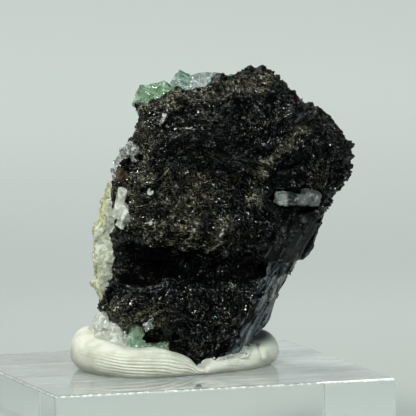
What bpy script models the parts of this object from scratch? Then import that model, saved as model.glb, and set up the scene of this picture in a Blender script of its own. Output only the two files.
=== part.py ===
"""Fluorite with schorl: a black schorl mass with fluorite on it, in a ring of putty on an acrylic block.

Metres, +Z up. The origin is the middle of the block's underside, and the block's edges lie along X and Y.
The specimen stands turned on the block. In its own frame x runs along its broad face, y runs through it
from the front to the back, and z is the height above the block's top. Lists of places are in millimetres
in that frame, and MM turns them into metres.
"""

import math

import bmesh
import bpy
from mathutils import Euler, Matrix, Vector, noise

MM = 0.001

# The clear block that carries the specimen
BLOCK_SIDE = 38.1 * MM
BLOCK_HEIGHT = 12.7 * MM
BLOCK_EDGE = 0.25 * MM

# The specimen's turn on the block, and the gap kept between neighbours
SPECIMEN_TURN = math.radians(-17.3)
GAP = 0.3 * MM

# The schorl mass: its outline seen from the front, as x and z
SCHORL_CENTRE = Vector((4.6, 0.0, 15.4))
SCHORL_OUTLINE = (
    (2.7, 0.4), (-1.3, 1.5), (-3.8, 2.0), (-5.2, 4.1), (-8.3, 6.0), (-8.0, 8.1), (-6.6, 11.0), (-6.4, 14.0),
    (-6.1, 18.2), (-6.2, 20.0), (-4.8, 23.6), (-3.4, 27.0), (-3.7, 29.0), (-1.4, 29.3), (0.3, 30.6), (2.3, 29.9),
    (3.4, 30.9), (5.0, 31.1), (7.3, 31.6), (9.3, 32.8), (10.5, 32.8), (12.5, 30.6), (14.3, 28.9), (17.2, 27.0),
    (17.8, 25.9), (19.7, 23.7), (19.7, 21.4), (18.0, 18.7), (16.5, 16.2), (14.7, 12.4), (13.2, 10.9),
    (11.4, 8.2), (10.3, 5.1), (8.4, 3.1), (6.1, 1.3), (4.4, 0.7),
)
SCHORL_SPHERE_LEVEL = 5
SCHORL_SQUARENESS = 4.4
SCHORL_LOWEST = 0.4

# Half depths of the mass in front of and behind its middle, by height
FRONT_DEPTHS = ((0.0, 7.0), (5.0, 8.4), (12.0, 8.8), (20.0, 9.8), (27.0, 9.0), (33.0, 5.6))
BACK_DEPTHS = ((0.0, 6.2), (5.0, 7.6), (12.0, 8.6), (20.0, 8.6), (27.0, 7.0), (33.0, 4.6))

# The tip at the right is narrower by this share, from this x on
TIP_X = 19.7
TIP_STARTS_X = 8.0
TIP_NARROWING = 0.30

# A form has faded out at this many half widths from its middle
FORM_REACH = 1.6

# Forms on the front: middle x and z, half width, half height, turn in degrees, and how far it stands out
FRONT_FORMS = (
    (-4.2, 11.2, 3.0, 2.1, 5.0, -3.0),
    (0.6, 12.3, 3.4, 1.5, -8.0, -2.5),
    (6.0, 11.6, 3.4, 1.3, -6.0, -1.9),
    (10.4, 10.6, 2.0, 1.1, 0.0, -1.2),
    (-4.2, 7.4, 3.6, 1.6, 4.0, 1.3),
    (0.8, 7.6, 3.2, 2.6, 0.0, 1.2),
    (4.4, 3.6, 3.4, 2.4, 25.0, 0.9),
    (-2.4, 4.6, 1.6, 1.3, 0.0, -0.9),
    (9.2, 20.0, 0.8, 2.4, -15.0, 0.8),
    (10.4, 22.8, 0.8, 2.0, -35.0, 0.9),
    (12.6, 25.2, 0.9, 2.2, -55.0, 0.9),
    (12.6, 22.0, 1.8, 1.5, 0.0, -1.3),
    (16.0, 23.0, 1.6, 1.6, 0.0, -0.6),
    (2.6, 27.2, 4.2, 1.2, 4.0, 0.7),
    (5.0, 24.8, 3.8, 1.0, 12.0, -1.1),
    (0.6, 22.4, 3.8, 1.0, 18.0, 0.7),
    (5.6, 20.0, 3.6, 1.1, 22.0, -0.8),
    (-3.0, 17.4, 3.0, 1.6, 14.0, 0.8),
    (2.4, 16.6, 3.0, 1.3, 20.0, 0.6),
    (9.6, 29.6, 2.0, 1.6, 30.0, 0.6),
    (13.4, 17.4, 2.2, 0.8, 60.0, -0.9),
)

# Forms on the back, in the same terms
BACK_FORMS = (
    (1.0, 9.0, 4.0, 2.4, 20.0, -1.6),
    (8.0, 12.0, 3.4, 1.4, 55.0, 1.3),
    (2.0, 18.0, 4.6, 1.6, 35.0, 1.1),
    (9.0, 23.0, 4.0, 1.6, 50.0, -1.4),
    (-3.6, 23.0, 2.4, 2.0, 0.0, -1.2),
    (14.0, 20.0, 2.4, 1.4, 60.0, 0.9),
    (4.0, 28.0, 4.0, 1.4, 10.0, 0.9),
)

# Broken chunks of the mass: size of one, stretch along the crystals' axis, step between two, tilt of one,
# and the share of both that is left at the rim
CHUNK_SIZE = 4.2
CHUNK_STRETCH = 1.9
CHUNK_STEP = 1.3
CHUNK_TILT = 0.40
CHUNK_AT_RIM = 0.12
SEED_SPREAD = 7.3
TILT_OFFSETS = (Vector((31.7, 0.0, 0.0)), Vector((0.0, 47.3, 0.0)), Vector((0.0, 0.0, 59.1)))

# Small lumps all over: size, height, and the share of it that is left at the rim
LUMP_SIZE = 2.1
LUMP_HEIGHT = 0.64
LUMP_AT_RIM = 0.4

# The share of the depth where the front or back takes over from the rim, and the width of that change
FRONT_STARTS = 0.35
FRONT_FADE = 0.4

# The crystals' axis: it leans to the right in the plane of the broad face
PRISM_LEAN = math.radians(60.0)
CRYSTAL_AXIS = Vector((math.cos(PRISM_LEAN), 0.0, math.sin(PRISM_LEAN)))

# The striated face at the lower right: which way it looks, and the corner where it meets the front
FACE_TURN = math.radians(25.0)
FACE_NORMAL = Vector((
    math.sin(PRISM_LEAN) * math.cos(FACE_TURN),
    -math.sin(FACE_TURN),
    -math.cos(PRISM_LEAN) * math.cos(FACE_TURN),
))
FACE_CORNER = Vector((6.4, -8.2, 2.6))

# Flat broken and grown faces of the mass: a point on each and the way it looks
FLAT_FACES = (
    (FACE_CORNER, FACE_NORMAL),
    (Vector((-5.2, -6.4, 15.0)), Vector((-0.80, -0.60, 0.05))),
    (Vector((3.0, -8.4, 27.4)), Vector((-0.05, -0.72, 0.69))),
    (Vector((16.2, -5.8, 24.6)), Vector((0.42, -0.86, 0.28))),
    (Vector((2.0, -7.4, 2.4)), Vector((0.05, -0.80, -0.60))),
    (Vector((15.2, 4.8, 20.0)), Vector((0.62, 0.78, -0.10))),
    (Vector((-4.4, 6.6, 20.0)), Vector((-0.66, 0.74, 0.12))),
    (Vector((3.0, 6.8, 27.0)), Vector((-0.10, 0.66, 0.74))),
    (Vector((4.0, 7.0, 4.6)), Vector((0.10, 0.90, -0.42))),
    (Vector((9.4, 8.0, 15.0)), Vector((0.28, 0.95, -0.12))),
)

# Prisms that stand out of the striated face: place across and along it, length, radius, how far out
PRISM_SIDES = 6
PRISM_TAPER = 0.88
PRISM_TURN_STEP = 17.0
FACE_PRISMS = (
    (0.9, 0.6, 9.0, 1.3, 0.35),
    (2.4, 0.2, 9.8, 1.4, 0.25),
    (3.9, 0.6, 8.2, 1.3, 0.10),
    (0.4, 10.4, 5.4, 1.3, 0.45),
    (2.0, 10.0, 8.4, 1.4, 0.50),
    (3.8, 9.6, 9.4, 1.5, 0.30),
)

# The other prisms: lower end, length and radius
PRISMS = (
    ((7.0, -1.2, 4.0), 8.4, 1.6),
    ((7.1, 1.8, 4.2), 8.6, 1.6),
    ((7.0, 4.4, 5.2), 8.4, 1.6),
    ((12.8, -1.4, 12.2), 8.0, 1.5),
    ((12.8, 1.6, 12.4), 8.0, 1.6),
    ((12.0, 4.2, 12.0), 7.6, 1.6),
    ((5.0, -8.5, 13.4), 4.0, 1.3),
    ((4.4, 6.2, 6.0), 12.0, 1.8),
    ((9.0, 5.6, 10.4), 10.4, 1.7),
    ((2.8, 6.4, 14.6), 9.4, 1.6),
)

# The black knob on the top: its lower end, length, radius and lean
KNOB_FOOT = (4.7, -0.6, 29.6)
KNOB_LENGTH = 2.6
KNOB_RADIUS = 0.65
KNOB_LEAN = math.radians(68.0)
KNOB_TURN = 12.0

# The putty rope, closed round the foot: each row is its middle as x and y, its half width and its height
ROPE_LINE = (
    ((2.6, -7.1), 1.2, 0.9), ((1.4, -7.4), 1.6, 1.9), ((-1.2, -8.3), 1.9, 2.9), ((-4.4, -8.6), 2.1, 3.1),
    ((-7.0, -6.4), 2.2, 3.4), ((-8.8, -3.0), 2.2, 3.8), ((-9.3, 0.6), 2.1, 4.2), ((-7.9, 3.9), 2.0, 3.9),
    ((-4.9, 6.4), 1.9, 3.5), ((-1.2, 7.4), 1.9, 3.3), ((2.8, 7.2), 1.9, 3.2), ((6.6, 5.6), 1.9, 3.3),
    ((9.0, 2.9), 2.1, 3.5), ((9.2, 0.0), 2.1, 3.4), ((7.6, -2.8), 2.0, 2.7), ((5.4, -5.0), 1.8, 2.2),
    ((3.5, -6.5), 1.5, 1.6),
)
ROPE_STEPS = 3
ROPE_SIDES = 14

# The rope's section: a power under 1 makes it fuller than an ellipse, and the sink presses it flat below
ROPE_FULLNESS = 0.85
ROPE_SINK = 1.06

# Crystals: middle, size, turn in degrees, and shape
GREEN_FLUORITE = (
    ((-2.3, 1.4, 29.0), (2.4, 3.4, 2.7), (18, 12, 24), "cube"),
    ((-0.9, 3.2, 29.2), (2.9, 2.8, 2.8), (-12, 25, 40), "cube"),
    ((-2.1, 4.2, 27.7), (2.7, 3.2, 3.4), (10, -18, 12), "cube"),
    ((-0.8, 0.4, 29.4), (1.7, 2.0, 2.1), (32, 8, 52), "cube"),
    ((-0.2, 6.0, 27.4), (3.2, 3.0, 3.2), (24, 15, -20), "cube"),
    ((-1.0, 6.7, 24.6), (3.3, 3.4, 4.0), (-8, 20, 30), "cube"),
)
CLEAR_FLUORITE = (
    ((1.5, 2.2, 30.2), (3.0, 3.0, 2.6), (28, 30, 12), "cube"),
    ((3.9, 2.8, 30.6), (2.8, 3.0, 2.5), (-14, 8, 34), "cube"),
    ((2.5, 0.6, 30.0), (1.8, 1.7, 1.9), (12, 40, 10), "cube"),
    ((3.2, 5.4, 28.6), (3.8, 3.4, 3.8), (16, -12, 22), "cube"),
)
FLUORITE_CHIP = (
    ((6.9, 2.2, 30.7), (1.7, 2.0, 1.5), (20, 12, 30), "cube"),
    ((6.5, 3.9, 29.9), (2.6, 2.2, 1.9), (-15, 22, 10), "cube"),
)
FLANK_CRUST = (
    ((-6.6, 0.4, 16.4), (2.3, 4.4, 4.2), (6, 10, 10), "cube"),
    ((-7.2, 0.6, 13.4), (2.5, 4.6, 3.8), (-6, 2, -8), "cube"),
    ((-7.2, 0.8, 10.6), (2.6, 4.4, 3.6), (8, -8, 10), "cube"),
    ((-7.6, 1.2, 8.4), (1.8, 3.4, 2.8), (-10, -22, 8), "cube"),
    ((-6.0, 4.2, 15.2), (2.6, 4.2, 4.8), (12, 8, 22), "cube"),
    ((-6.3, 4.4, 11.4), (2.6, 4.0, 4.4), (-8, -6, 12), "cube"),
    ((-6.2, 2.4, 18.6), (1.7, 3.2, 2.4), (14, 16, 24), "cube"),
    ((-4.6, 6.4, 13.0), (3.2, 3.4, 5.0), (6, 4, 40), "cube"),
)
WHITE_WEDGES = (
    ((-5.7, -5.8, 18.6), (0.8, 1.8, 3.4), (4, 14, 10), "cube"),
    ((-4.9, -6.9, 17.6), (1.5, 2.0, 1.4), (30, 20, 34), "cube"),
    ((-5.4, -6.2, 16.8), (0.9, 2.0, 1.8), (12, 8, 20), "cube"),
)
GLASSY_GRAINS = (
    ((-5.0, -3.6, 22.9), (1.6, 2.0, 1.9), (26, 18, 30), "cube"),
    ((-4.5, -4.4, 24.2), (1.3, 1.8, 1.5), (12, 40, 8), "cube"),
    ((-5.6, -3.0, 21.7), (1.3, 1.8, 1.5), (-20, 10, 50), "cube"),
)
FOOT_CRUMBS = (
    ((-7.4, -2.8, 5.2), (1.8, 2.4, 1.9), (20, 35, 15), "cube"),
    ((-7.1, -3.6, 4.0), (2.0, 2.6, 1.9), (-18, 12, 40), "cube"),
    ((-6.1, -4.8, 4.4), (1.7, 2.4, 1.9), (35, 25, 10), "cube"),
    ((-5.9, -5.0, 3.2), (2.2, 2.6, 1.7), (12, -20, 30), "cube"),
    ((-7.8, -0.8, 4.6), (1.8, 2.8, 2.2), (8, 22, 25), "cube"),
)
FLUORITE_FOOT = (
    ((-4.6, -5.6, 4.4), (1.7, 2.2, 2.2), (14, 24, 38), "cube"),
    ((-4.4, -5.8, 3.1), (1.8, 2.2, 1.3), (-10, 12, 20), "cube"),
    ((-2.4, -6.4, 2.8), (3.6, 1.8, 0.9), (6, -3, -8), "cube"),
)
GLASSY_BEAD = (
    ((-2.8, -8.9, 5.6), (1.3, 1.5, 1.8), (12, 20, 8), "octahedron"),
    ((-2.4, -8.9, 6.3), (0.9, 1.1, 0.9), (30, 15, 40), "octahedron"),
)
PALE_CRYSTAL = (
    ((12.2, -7.9, 19.1), (1.9, 1.8, 1.3), (8, 4, 16), "cube"),
    ((13.7, -7.5, 18.9), (2.4, 1.9, 1.2), (-6, 3, 12), "cube"),
    ((15.0, -7.0, 19.1), (1.8, 1.8, 1.4), (10, 9, 20), "cube"),
)

CRYSTAL_NODES = (
    ("fluorite_green", GREEN_FLUORITE, (0.20, 0.36, 0.19), 0.25),
    ("fluorite_clear", CLEAR_FLUORITE, (0.50, 0.60, 0.53), 0.15),
    ("fluorite_chip", FLUORITE_CHIP, (0.15, 0.30, 0.17), 0.25),
    ("flank_crust", FLANK_CRUST, (0.56, 0.57, 0.38), 0.45),
    ("white_wedges", WHITE_WEDGES, (0.62, 0.66, 0.60), 0.50),
    ("glassy_grains", GLASSY_GRAINS, (0.42, 0.48, 0.46), 0.15),
    ("foot_crumbs", FOOT_CRUMBS, (0.68, 0.71, 0.65), 0.50),
    ("fluorite_foot", FLUORITE_FOOT, (0.17, 0.33, 0.20), 0.25),
    ("glassy_bead", GLASSY_BEAD, (0.30, 0.34, 0.32), 0.10),
    ("pale_crystal", PALE_CRYSTAL, (0.32, 0.36, 0.34), 0.35),
)

# The crystals that stand in the putty too
FOOT_NODES = ("foot_crumbs", "fluorite_foot")

BLOCK_COLOUR = (0.85, 0.88, 0.86)
PUTTY_COLOUR = (0.72, 0.74, 0.66)
SCHORL_COLOUR = (0.012, 0.012, 0.011)


def clear_scene():
    """Removes every object of the scene."""
    for item in list(bpy.data.objects):
        bpy.data.objects.remove(item, do_unlink=True)


def make_collection(name):
    """Returns a new collection in the scene."""
    collection = bpy.data.collections.new(name)
    bpy.context.scene.collection.children.link(collection)
    return collection


def make_material(name, colour, roughness, metallic=0.0):
    """Returns a Principled material."""
    material = bpy.data.materials.new(name)
    material.use_nodes = True
    shader = material.node_tree.nodes["Principled BSDF"]
    shader.inputs["Base Color"].default_value = (*colour, 1.0)
    shader.inputs["Roughness"].default_value = roughness
    shader.inputs["Metallic"].default_value = metallic
    return material


def add_object(name, bm, collection, parent, material=None):
    """Makes an object of a bmesh, which it frees, and hangs it on its parent."""
    mesh = bpy.data.meshes.new(name)
    bm.to_mesh(mesh)
    bm.free()
    item = bpy.data.objects.new(name, mesh)
    collection.objects.link(item)
    item.parent = parent
    if material is not None:
        mesh.materials.append(material)
    return item


def as_cutter(item):
    """Marks an object as one that only cuts or joins others."""
    item.hide_render = True
    item.display_type = "WIRE"
    return item


def add_boolean(item, other, operation, solver="EXACT"):
    """Adds a Boolean to an object."""
    modifier = item.modifiers.new(operation.lower() + "_" + other.name, "BOOLEAN")
    modifier.operation = operation
    modifier.solver = solver
    modifier.object = other


def smooth_step(value):
    """Returns a smooth rise from 0 to 1 over that range."""
    clamped = min(max(value, 0.0), 1.0)
    return clamped * clamped * (3.0 - 2.0 * clamped)


def read_table(table, value):
    """Returns the value that a table of pairs gives, with straight lines between its rows."""
    if value <= table[0][0]:
        return table[0][1]
    for (low, first), (high, second) in zip(table, table[1:]):
        if value <= high:
            return first + (second - first) * (value - low) / (high - low)
    return table[-1][1]


def outline_radius(outline, centre_x, centre_z, angle):
    """Returns the distance from the centre to the outline in one direction."""
    ray_x = math.cos(angle)
    ray_z = math.sin(angle)
    farthest = 0.0
    for index, (x1, z1) in enumerate(outline):
        x2, z2 = outline[(index + 1) % len(outline)]
        edge_x = x2 - x1
        edge_z = z2 - z1
        crossing = ray_x * edge_z - ray_z * edge_x
        if abs(crossing) < 1e-9:
            continue
        from_x = x1 - centre_x
        from_z = z1 - centre_z
        along_ray = (from_x * edge_z - from_z * edge_x) / crossing
        along_edge = (from_x * ray_z - from_z * ray_x) / crossing
        if along_ray > 0.0 and -1e-9 <= along_edge <= 1.0 + 1e-9:
            farthest = max(farthest, along_ray)
    return farthest


def form_height(forms, x, z):
    """Returns how far a list of rounded forms stands out at one place of the front or back."""
    height = 0.0
    for middle_x, middle_z, half_width, half_height, turn, rise in forms:
        angle = math.radians(turn)
        dx = x - middle_x
        dz = z - middle_z
        along = (dx * math.cos(angle) + dz * math.sin(angle)) / half_width
        across = (dz * math.cos(angle) - dx * math.sin(angle)) / half_height
        height += rise * smooth_step(FORM_REACH - math.hypot(along, across))
    return height


def chunk_height(point):
    """Returns how far the broken chunk that a point of the mass lies on stands out there."""
    along = point.dot(CRYSTAL_AXIS)
    squeezed = (point - CRYSTAL_AXIS * along * (1.0 - 1.0 / CHUNK_STRETCH)) / CHUNK_SIZE
    _, seeds = noise.voronoi(squeezed)
    seed = seeds[0] * SEED_SPREAD
    step = noise.noise(seed)
    tilt = Vector([noise.noise(seed + offset) for offset in TILT_OFFSETS])
    return CHUNK_STEP * step + CHUNK_TILT * CHUNK_SIZE * tilt.dot(squeezed - seeds[0])


def schorl_point(direction):
    """Returns the surface point of the mass in one direction from its middle, in millimetres."""
    flat = math.hypot(direction.x, direction.z)
    angle = math.atan2(direction.z, direction.x)
    radius = outline_radius(SCHORL_OUTLINE, SCHORL_CENTRE.x, SCHORL_CENTRE.z, angle)
    reach = radius * flat
    depths = FRONT_DEPTHS if direction.y < 0.0 else BACK_DEPTHS
    height = SCHORL_CENTRE.z + reach * math.sin(angle)
    across = SCHORL_CENTRE.x + reach * math.cos(angle)
    toward_tip = smooth_step((across - TIP_STARTS_X) / (TIP_X - TIP_STARTS_X))
    depth = read_table(depths, height) * (1.0 - TIP_NARROWING * toward_tip)
    power = SCHORL_SQUARENESS
    terms = (flat / radius) ** power + (abs(direction.y) / depth) ** power
    distance = terms ** (-1.0 / power)
    for on_face, normal in FLAT_FACES:
        toward = direction.dot(normal)
        if toward > 0.0:
            distance = min(distance, (on_face - SCHORL_CENTRE).dot(normal) / toward)
    base = SCHORL_CENTRE + direction * distance
    facing = smooth_step((abs(direction.y) * distance / depth - FRONT_STARTS) / FRONT_FADE)
    forms = FRONT_FORMS if direction.y < 0.0 else BACK_FORMS
    relief = facing * form_height(forms, base.x, base.z)
    relief += (CHUNK_AT_RIM + (1.0 - CHUNK_AT_RIM) * facing) * chunk_height(base)
    relief += (LUMP_AT_RIM + (1.0 - LUMP_AT_RIM) * facing) * LUMP_HEIGHT * noise.noise(base / LUMP_SIZE)
    point = SCHORL_CENTRE + direction * (distance + relief)
    point.z = max(point.z, SCHORL_LOWEST)
    return point


def build_schorl(parts, cutters, parent):
    """Builds the black mass, with its prisms and its knob joined to it."""
    bm = bmesh.new()
    bmesh.ops.create_icosphere(bm, subdivisions=SCHORL_SPHERE_LEVEL, radius=1.0)
    for vert in bm.verts:
        vert.co = schorl_point(vert.co.normalized()) * MM
    material = make_material("schorl", SCHORL_COLOUR, 0.3)
    schorl = add_object("schorl", bm, parts, parent, material)
    for index, (foot, length, radius) in enumerate(prism_places()):
        prism = prism_bmesh(foot, length, radius, PRISM_LEAN, PRISM_TURN_STEP * index)
        item = as_cutter(add_object(f"prism_{index + 1}", prism, cutters, parent))
        add_boolean(schorl, item, "UNION")
    knob = prism_bmesh(KNOB_FOOT, KNOB_LENGTH, KNOB_RADIUS, KNOB_LEAN, KNOB_TURN)
    add_boolean(schorl, as_cutter(add_object("knob", knob, cutters, parent)), "UNION")
    return schorl


def prism_places():
    """Returns the lower end, length and radius of every prism."""
    across_face = CRYSTAL_AXIS.cross(FACE_NORMAL)
    if across_face.y < 0.0:
        across_face.negate()
    places = []
    for across, along, length, radius, out in FACE_PRISMS:
        foot = FACE_CORNER + across_face * across + CRYSTAL_AXIS * along - FACE_NORMAL * (radius - out)
        places.append((foot, length, radius))
    return places + list(PRISMS)


def prism_bmesh(foot, length, radius, lean, turn):
    """Returns a bmesh of a six-sided prism that leans from its foot, with a slightly tapered top."""
    bm = bmesh.new()
    bmesh.ops.create_cone(bm, cap_ends=True, segments=PRISM_SIDES, radius1=radius * MM,
                          radius2=radius * PRISM_TAPER * MM, depth=length * MM)
    lift = Matrix.Translation((0.0, 0.0, length / 2.0 * MM))
    spin = Matrix.Rotation(math.radians(turn), 4, "Z")
    tip_over = Matrix.Rotation(math.pi / 2.0 - lean, 4, "Y")
    place = Matrix.Translation(Vector(foot) * MM)
    bm.transform(place @ tip_over @ spin @ lift)
    return bm


def crystal_bmesh(middle, size, turn, shape, extra=0.0):
    """Returns a bmesh of one crystal: a cube or an octahedron of the given size."""
    bm = bmesh.new()
    if shape == "cube":
        bmesh.ops.create_cube(bm, size=1.0)
    else:
        bmesh.ops.create_uvsphere(bm, u_segments=4, v_segments=2, radius=0.5)
    scale = Matrix.Diagonal([(side + 2.0 * extra) * MM for side in size] + [1.0])
    rotation = Euler([math.radians(angle) for angle in turn]).to_matrix().to_4x4()
    bm.transform(Matrix.Translation(Vector(middle) * MM) @ rotation @ scale)
    return bm


def build_cluster(name, crystals, collection, cutters, parent, material=None, extra=0.0):
    """Builds crystals grown together as one solid: the first one, with the others joined to it."""
    cluster = add_object(name, crystal_bmesh(*crystals[0], extra), collection, parent, material)
    for index, crystal in enumerate(crystals[1:]):
        other_name = f"{name}_crystal_{index + 2}"
        other = as_cutter(add_object(other_name, crystal_bmesh(*crystal, extra), cutters, parent))
        add_boolean(cluster, other, "UNION")
    return cluster


def evaluated_copy(item, name, collection, parent):
    """Returns a new object with an object's modifiers already worked out in its mesh."""
    bpy.context.view_layer.update()
    graph = bpy.context.evaluated_depsgraph_get()
    mesh = bpy.data.meshes.new_from_object(item.evaluated_get(graph))
    mesh.name = name
    copy = bpy.data.objects.new(name, mesh)
    collection.objects.link(copy)
    copy.parent = parent
    return copy


def build_block(parts):
    """Builds the clear block."""
    bm = bmesh.new()
    bmesh.ops.create_cube(bm, size=1.0)
    bmesh.ops.scale(bm, verts=bm.verts, vec=(BLOCK_SIDE, BLOCK_SIDE, BLOCK_HEIGHT))
    bmesh.ops.translate(bm, verts=bm.verts, vec=(0.0, 0.0, BLOCK_HEIGHT / 2.0))
    block = add_object("acrylic_block", bm, parts, None, make_material("acrylic", BLOCK_COLOUR, 0.05))
    bevel = block.modifiers.new("edges", "BEVEL")
    bevel.width = BLOCK_EDGE
    bevel.segments = 1
    return block


def rope_stations():
    """Returns the rope's middle points, half widths and heights, on a smooth closed line."""
    stations = []
    rows = [(Vector(place), half, height) for place, half, height in ROPE_LINE]
    for index, start in enumerate(rows):
        before = rows[index - 1]
        end = rows[(index + 1) % len(rows)]
        after = rows[(index + 2) % len(rows)]
        for step in range(ROPE_STEPS):
            t = step / ROPE_STEPS
            place = catmull_rom(before[0], start[0], end[0], after[0], t)
            half = catmull_rom(before[1], start[1], end[1], after[1], t)
            height = catmull_rom(before[2], start[2], end[2], after[2], t)
            stations.append((place, half, height))
    return stations


def catmull_rom(before, start, end, after, t):
    """Returns a value on the smooth curve between start and end."""
    first = end - before
    second = 2.0 * before - 5.0 * start + 4.0 * end - after
    third = 3.0 * start - before - 3.0 * end + after
    return 0.5 * (2.0 * start + first * t + second * t * t + third * t * t * t)


def build_putty(parts, parent, swollen_schorl, pockets):
    """Builds the putty rope as a loft of round sections, pressed in where the specimen stands in it."""
    stations = rope_stations()
    bm = bmesh.new()
    rings = []
    for index, (place, half, height) in enumerate(stations):
        ahead = stations[(index + 1) % len(stations)][0] - stations[index - 1][0]
        side = Vector((ahead.y, -ahead.x)).normalized()
        ring = []
        for step in range(ROPE_SIDES):
            angle = 2.0 * math.pi * step / ROPE_SIDES
            out = math.copysign(abs(math.cos(angle)) ** ROPE_FULLNESS, math.cos(angle)) * half
            up = height / 2.0 * (1.0 + math.sin(angle) * ROPE_SINK)
            point = place + side * out
            ring.append(bm.verts.new(Vector((point.x, point.y, max(up, GAP / MM))) * MM))
        rings.append(ring)
    for first, second in zip(rings, rings[1:] + rings[:1]):
        for step in range(ROPE_SIDES):
            following = (step + 1) % ROPE_SIDES
            bm.faces.new((first[step], first[following], second[following], second[step]))
    bmesh.ops.recalc_face_normals(bm, faces=bm.faces)
    putty = add_object("putty_ring", bm, parts, parent, make_material("putty", PUTTY_COLOUR, 0.7))
    # The swollen mass crosses itself in its crevices, which the exact solver can't take
    add_boolean(putty, swollen_schorl, "DIFFERENCE", "MANIFOLD")
    for pocket in pockets:
        add_boolean(putty, pocket, "DIFFERENCE")
    return putty


def main():
    """Builds the whole specimen on its block."""
    clear_scene()
    parts = make_collection("fluorite_with_schorl")
    cutters = make_collection("cutters")
    stand = bpy.data.objects.new("specimen_place", None)
    stand.location = (0.0, 0.0, BLOCK_HEIGHT)
    stand.rotation_euler = (0.0, 0.0, SPECIMEN_TURN)
    parts.objects.link(stand)

    build_block(parts)
    schorl = build_schorl(parts, cutters, stand)
    swollen = as_cutter(evaluated_copy(schorl, "schorl_with_gap", cutters, stand))
    swell = swollen.modifiers.new("gap", "DISPLACE")
    swell.strength = GAP
    swell.mid_level = 0.0

    pockets = {}
    for name, crystals, colour, roughness in CRYSTAL_NODES:
        material = make_material(name, colour, roughness)
        cluster = build_cluster(name, crystals, parts, cutters, stand, material)
        for earlier in pockets.values():
            add_boolean(cluster, earlier, "DIFFERENCE")
        pocket = build_cluster(name + "_pocket", crystals, cutters, cutters, stand, extra=GAP / MM)
        add_boolean(schorl, as_cutter(pocket), "DIFFERENCE")
        pockets[name] = pocket
    build_putty(parts, stand, swollen, [pockets[name] for name in FOOT_NODES])


main()
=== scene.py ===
"""The looks of a fluorite with schorl specimen on its acrylic block.

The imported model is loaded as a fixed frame, and every visible piece is made around it: the crumbly black
schorl with its striated faces, the scales that stand on it, the fluorites and pale crystals, the
finger-pressed putty and the clear block. Places are given in millimetres in the specimen's own frame: x along
its broad face, y from the front to the back, z up from the block's top. TO_WORLD turns them into the row
frame's metres.
"""

import enum
import logging
import math
from collections.abc import Callable
from dataclasses import dataclass, field

import bmesh
import bpy
import numpy as np
from mathutils import Matrix, Vector, noise
from mathutils.bvhtree import BVHTree


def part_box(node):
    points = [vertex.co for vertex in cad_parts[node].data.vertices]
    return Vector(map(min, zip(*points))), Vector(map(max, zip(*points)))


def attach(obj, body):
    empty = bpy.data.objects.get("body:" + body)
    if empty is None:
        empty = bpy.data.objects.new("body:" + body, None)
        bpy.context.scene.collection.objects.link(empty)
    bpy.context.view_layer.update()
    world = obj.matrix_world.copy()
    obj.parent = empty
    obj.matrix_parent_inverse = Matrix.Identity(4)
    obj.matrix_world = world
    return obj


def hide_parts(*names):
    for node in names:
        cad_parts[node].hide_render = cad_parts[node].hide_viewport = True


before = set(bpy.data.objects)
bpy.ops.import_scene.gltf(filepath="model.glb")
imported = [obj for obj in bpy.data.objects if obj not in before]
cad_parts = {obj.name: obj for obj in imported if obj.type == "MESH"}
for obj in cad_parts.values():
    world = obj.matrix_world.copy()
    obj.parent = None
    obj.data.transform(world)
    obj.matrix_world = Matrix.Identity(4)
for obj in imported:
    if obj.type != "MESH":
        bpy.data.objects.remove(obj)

LOG = logging.getLogger("specimen")

MM = 0.001
BODY = "root"

# The specimen's own frame, in millimetres, inside the row frame, in metres
SPECIMEN_TURN = math.radians(-17.3)
BLOCK_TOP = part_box("acrylic_block")[1].z
STANDING = Matrix.Translation((0.0, 0.0, BLOCK_TOP)) @ Matrix.Rotation(SPECIMEN_TURN, 4, "Z")
TO_WORLD = STANDING @ Matrix.Scale(MM, 4)
TO_LOCAL = TO_WORLD.inverted()

# The crystals' axis, which leans to the right in the plane of the broad face
PRISM_LEAN = math.radians(60.0)
CRYSTAL_AXIS = Vector((math.cos(PRISM_LEAN), 0.0, math.sin(PRISM_LEAN)))

# Offsets that make independent noises of one noise
NOISE_OFFSETS = (Vector((31.7, 0.0, 0.0)), Vector((0.0, 47.3, 0.0)), Vector((0.0, 0.0, 59.1)))

# The bands of the broken faces: their rise to the right, its swing over a distance, how far they are drawn
# out, and their fall towards the back
BAND_TURN = 24.0
BAND_SWING = 26.0
BAND_BEND = 7.5
BAND_DRAW = 1.5
BAND_DIP = 0.35

Colour = tuple[float, float, float]
Facets = tuple[float, float, float, float]
Span = tuple[float, float]


class Light(enum.Enum):
    """The studio's lamps."""

    KEY = "key"
    SPARK = "spark"
    COOL = "cool"
    BACKDROP = "backdrop"
    FILL = "fill"
    REAR = "rear"


def smooth_step(value: float) -> float:
    """Returns a smooth rise from 0 to 1 over that range.

    Args:
        value: Where on the rise.

    Returns:
        The height of the rise there.
    """
    clamped = min(max(value, 0.0), 1.0)
    return clamped * clamped * (3.0 - 2.0 * clamped)


def rise(value: float, low: float, high: float) -> float:
    """Returns a smooth rise from 0 to 1 as a value goes from low to high, which may be the smaller one."""
    return smooth_step((value - low) / (high - low))


def turn_past(middle: float, angle: float) -> float:
    """Returns how far an angle lies past a middle one, from -180 to 180 degrees."""
    return (angle - middle + 180.0) % 360.0 - 180.0


def deselect_all() -> None:
    """Leaves object mode's selection empty."""
    for item in bpy.context.selected_objects:
        item.select_set(False)


def make_active(item: bpy.types.Object) -> None:
    """Selects one object alone and makes it the active one.

    Args:
        item: The object.
    """
    deselect_all()
    item.select_set(True)
    bpy.context.view_layer.objects.active = item


def take_primitive(name: str) -> bpy.types.Object:
    """Names the primitive that was just added.

    Args:
        name: The piece's name.

    Returns:
        The new object.
    """
    item = bpy.context.object
    item.name = name
    item.data.name = name
    return item


def apply_transform(item: bpy.types.Object) -> None:
    """Puts an object's place, turn and scale into its mesh."""
    make_active(item)
    bpy.ops.object.transform_apply(location=True, rotation=True, scale=True)


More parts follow.
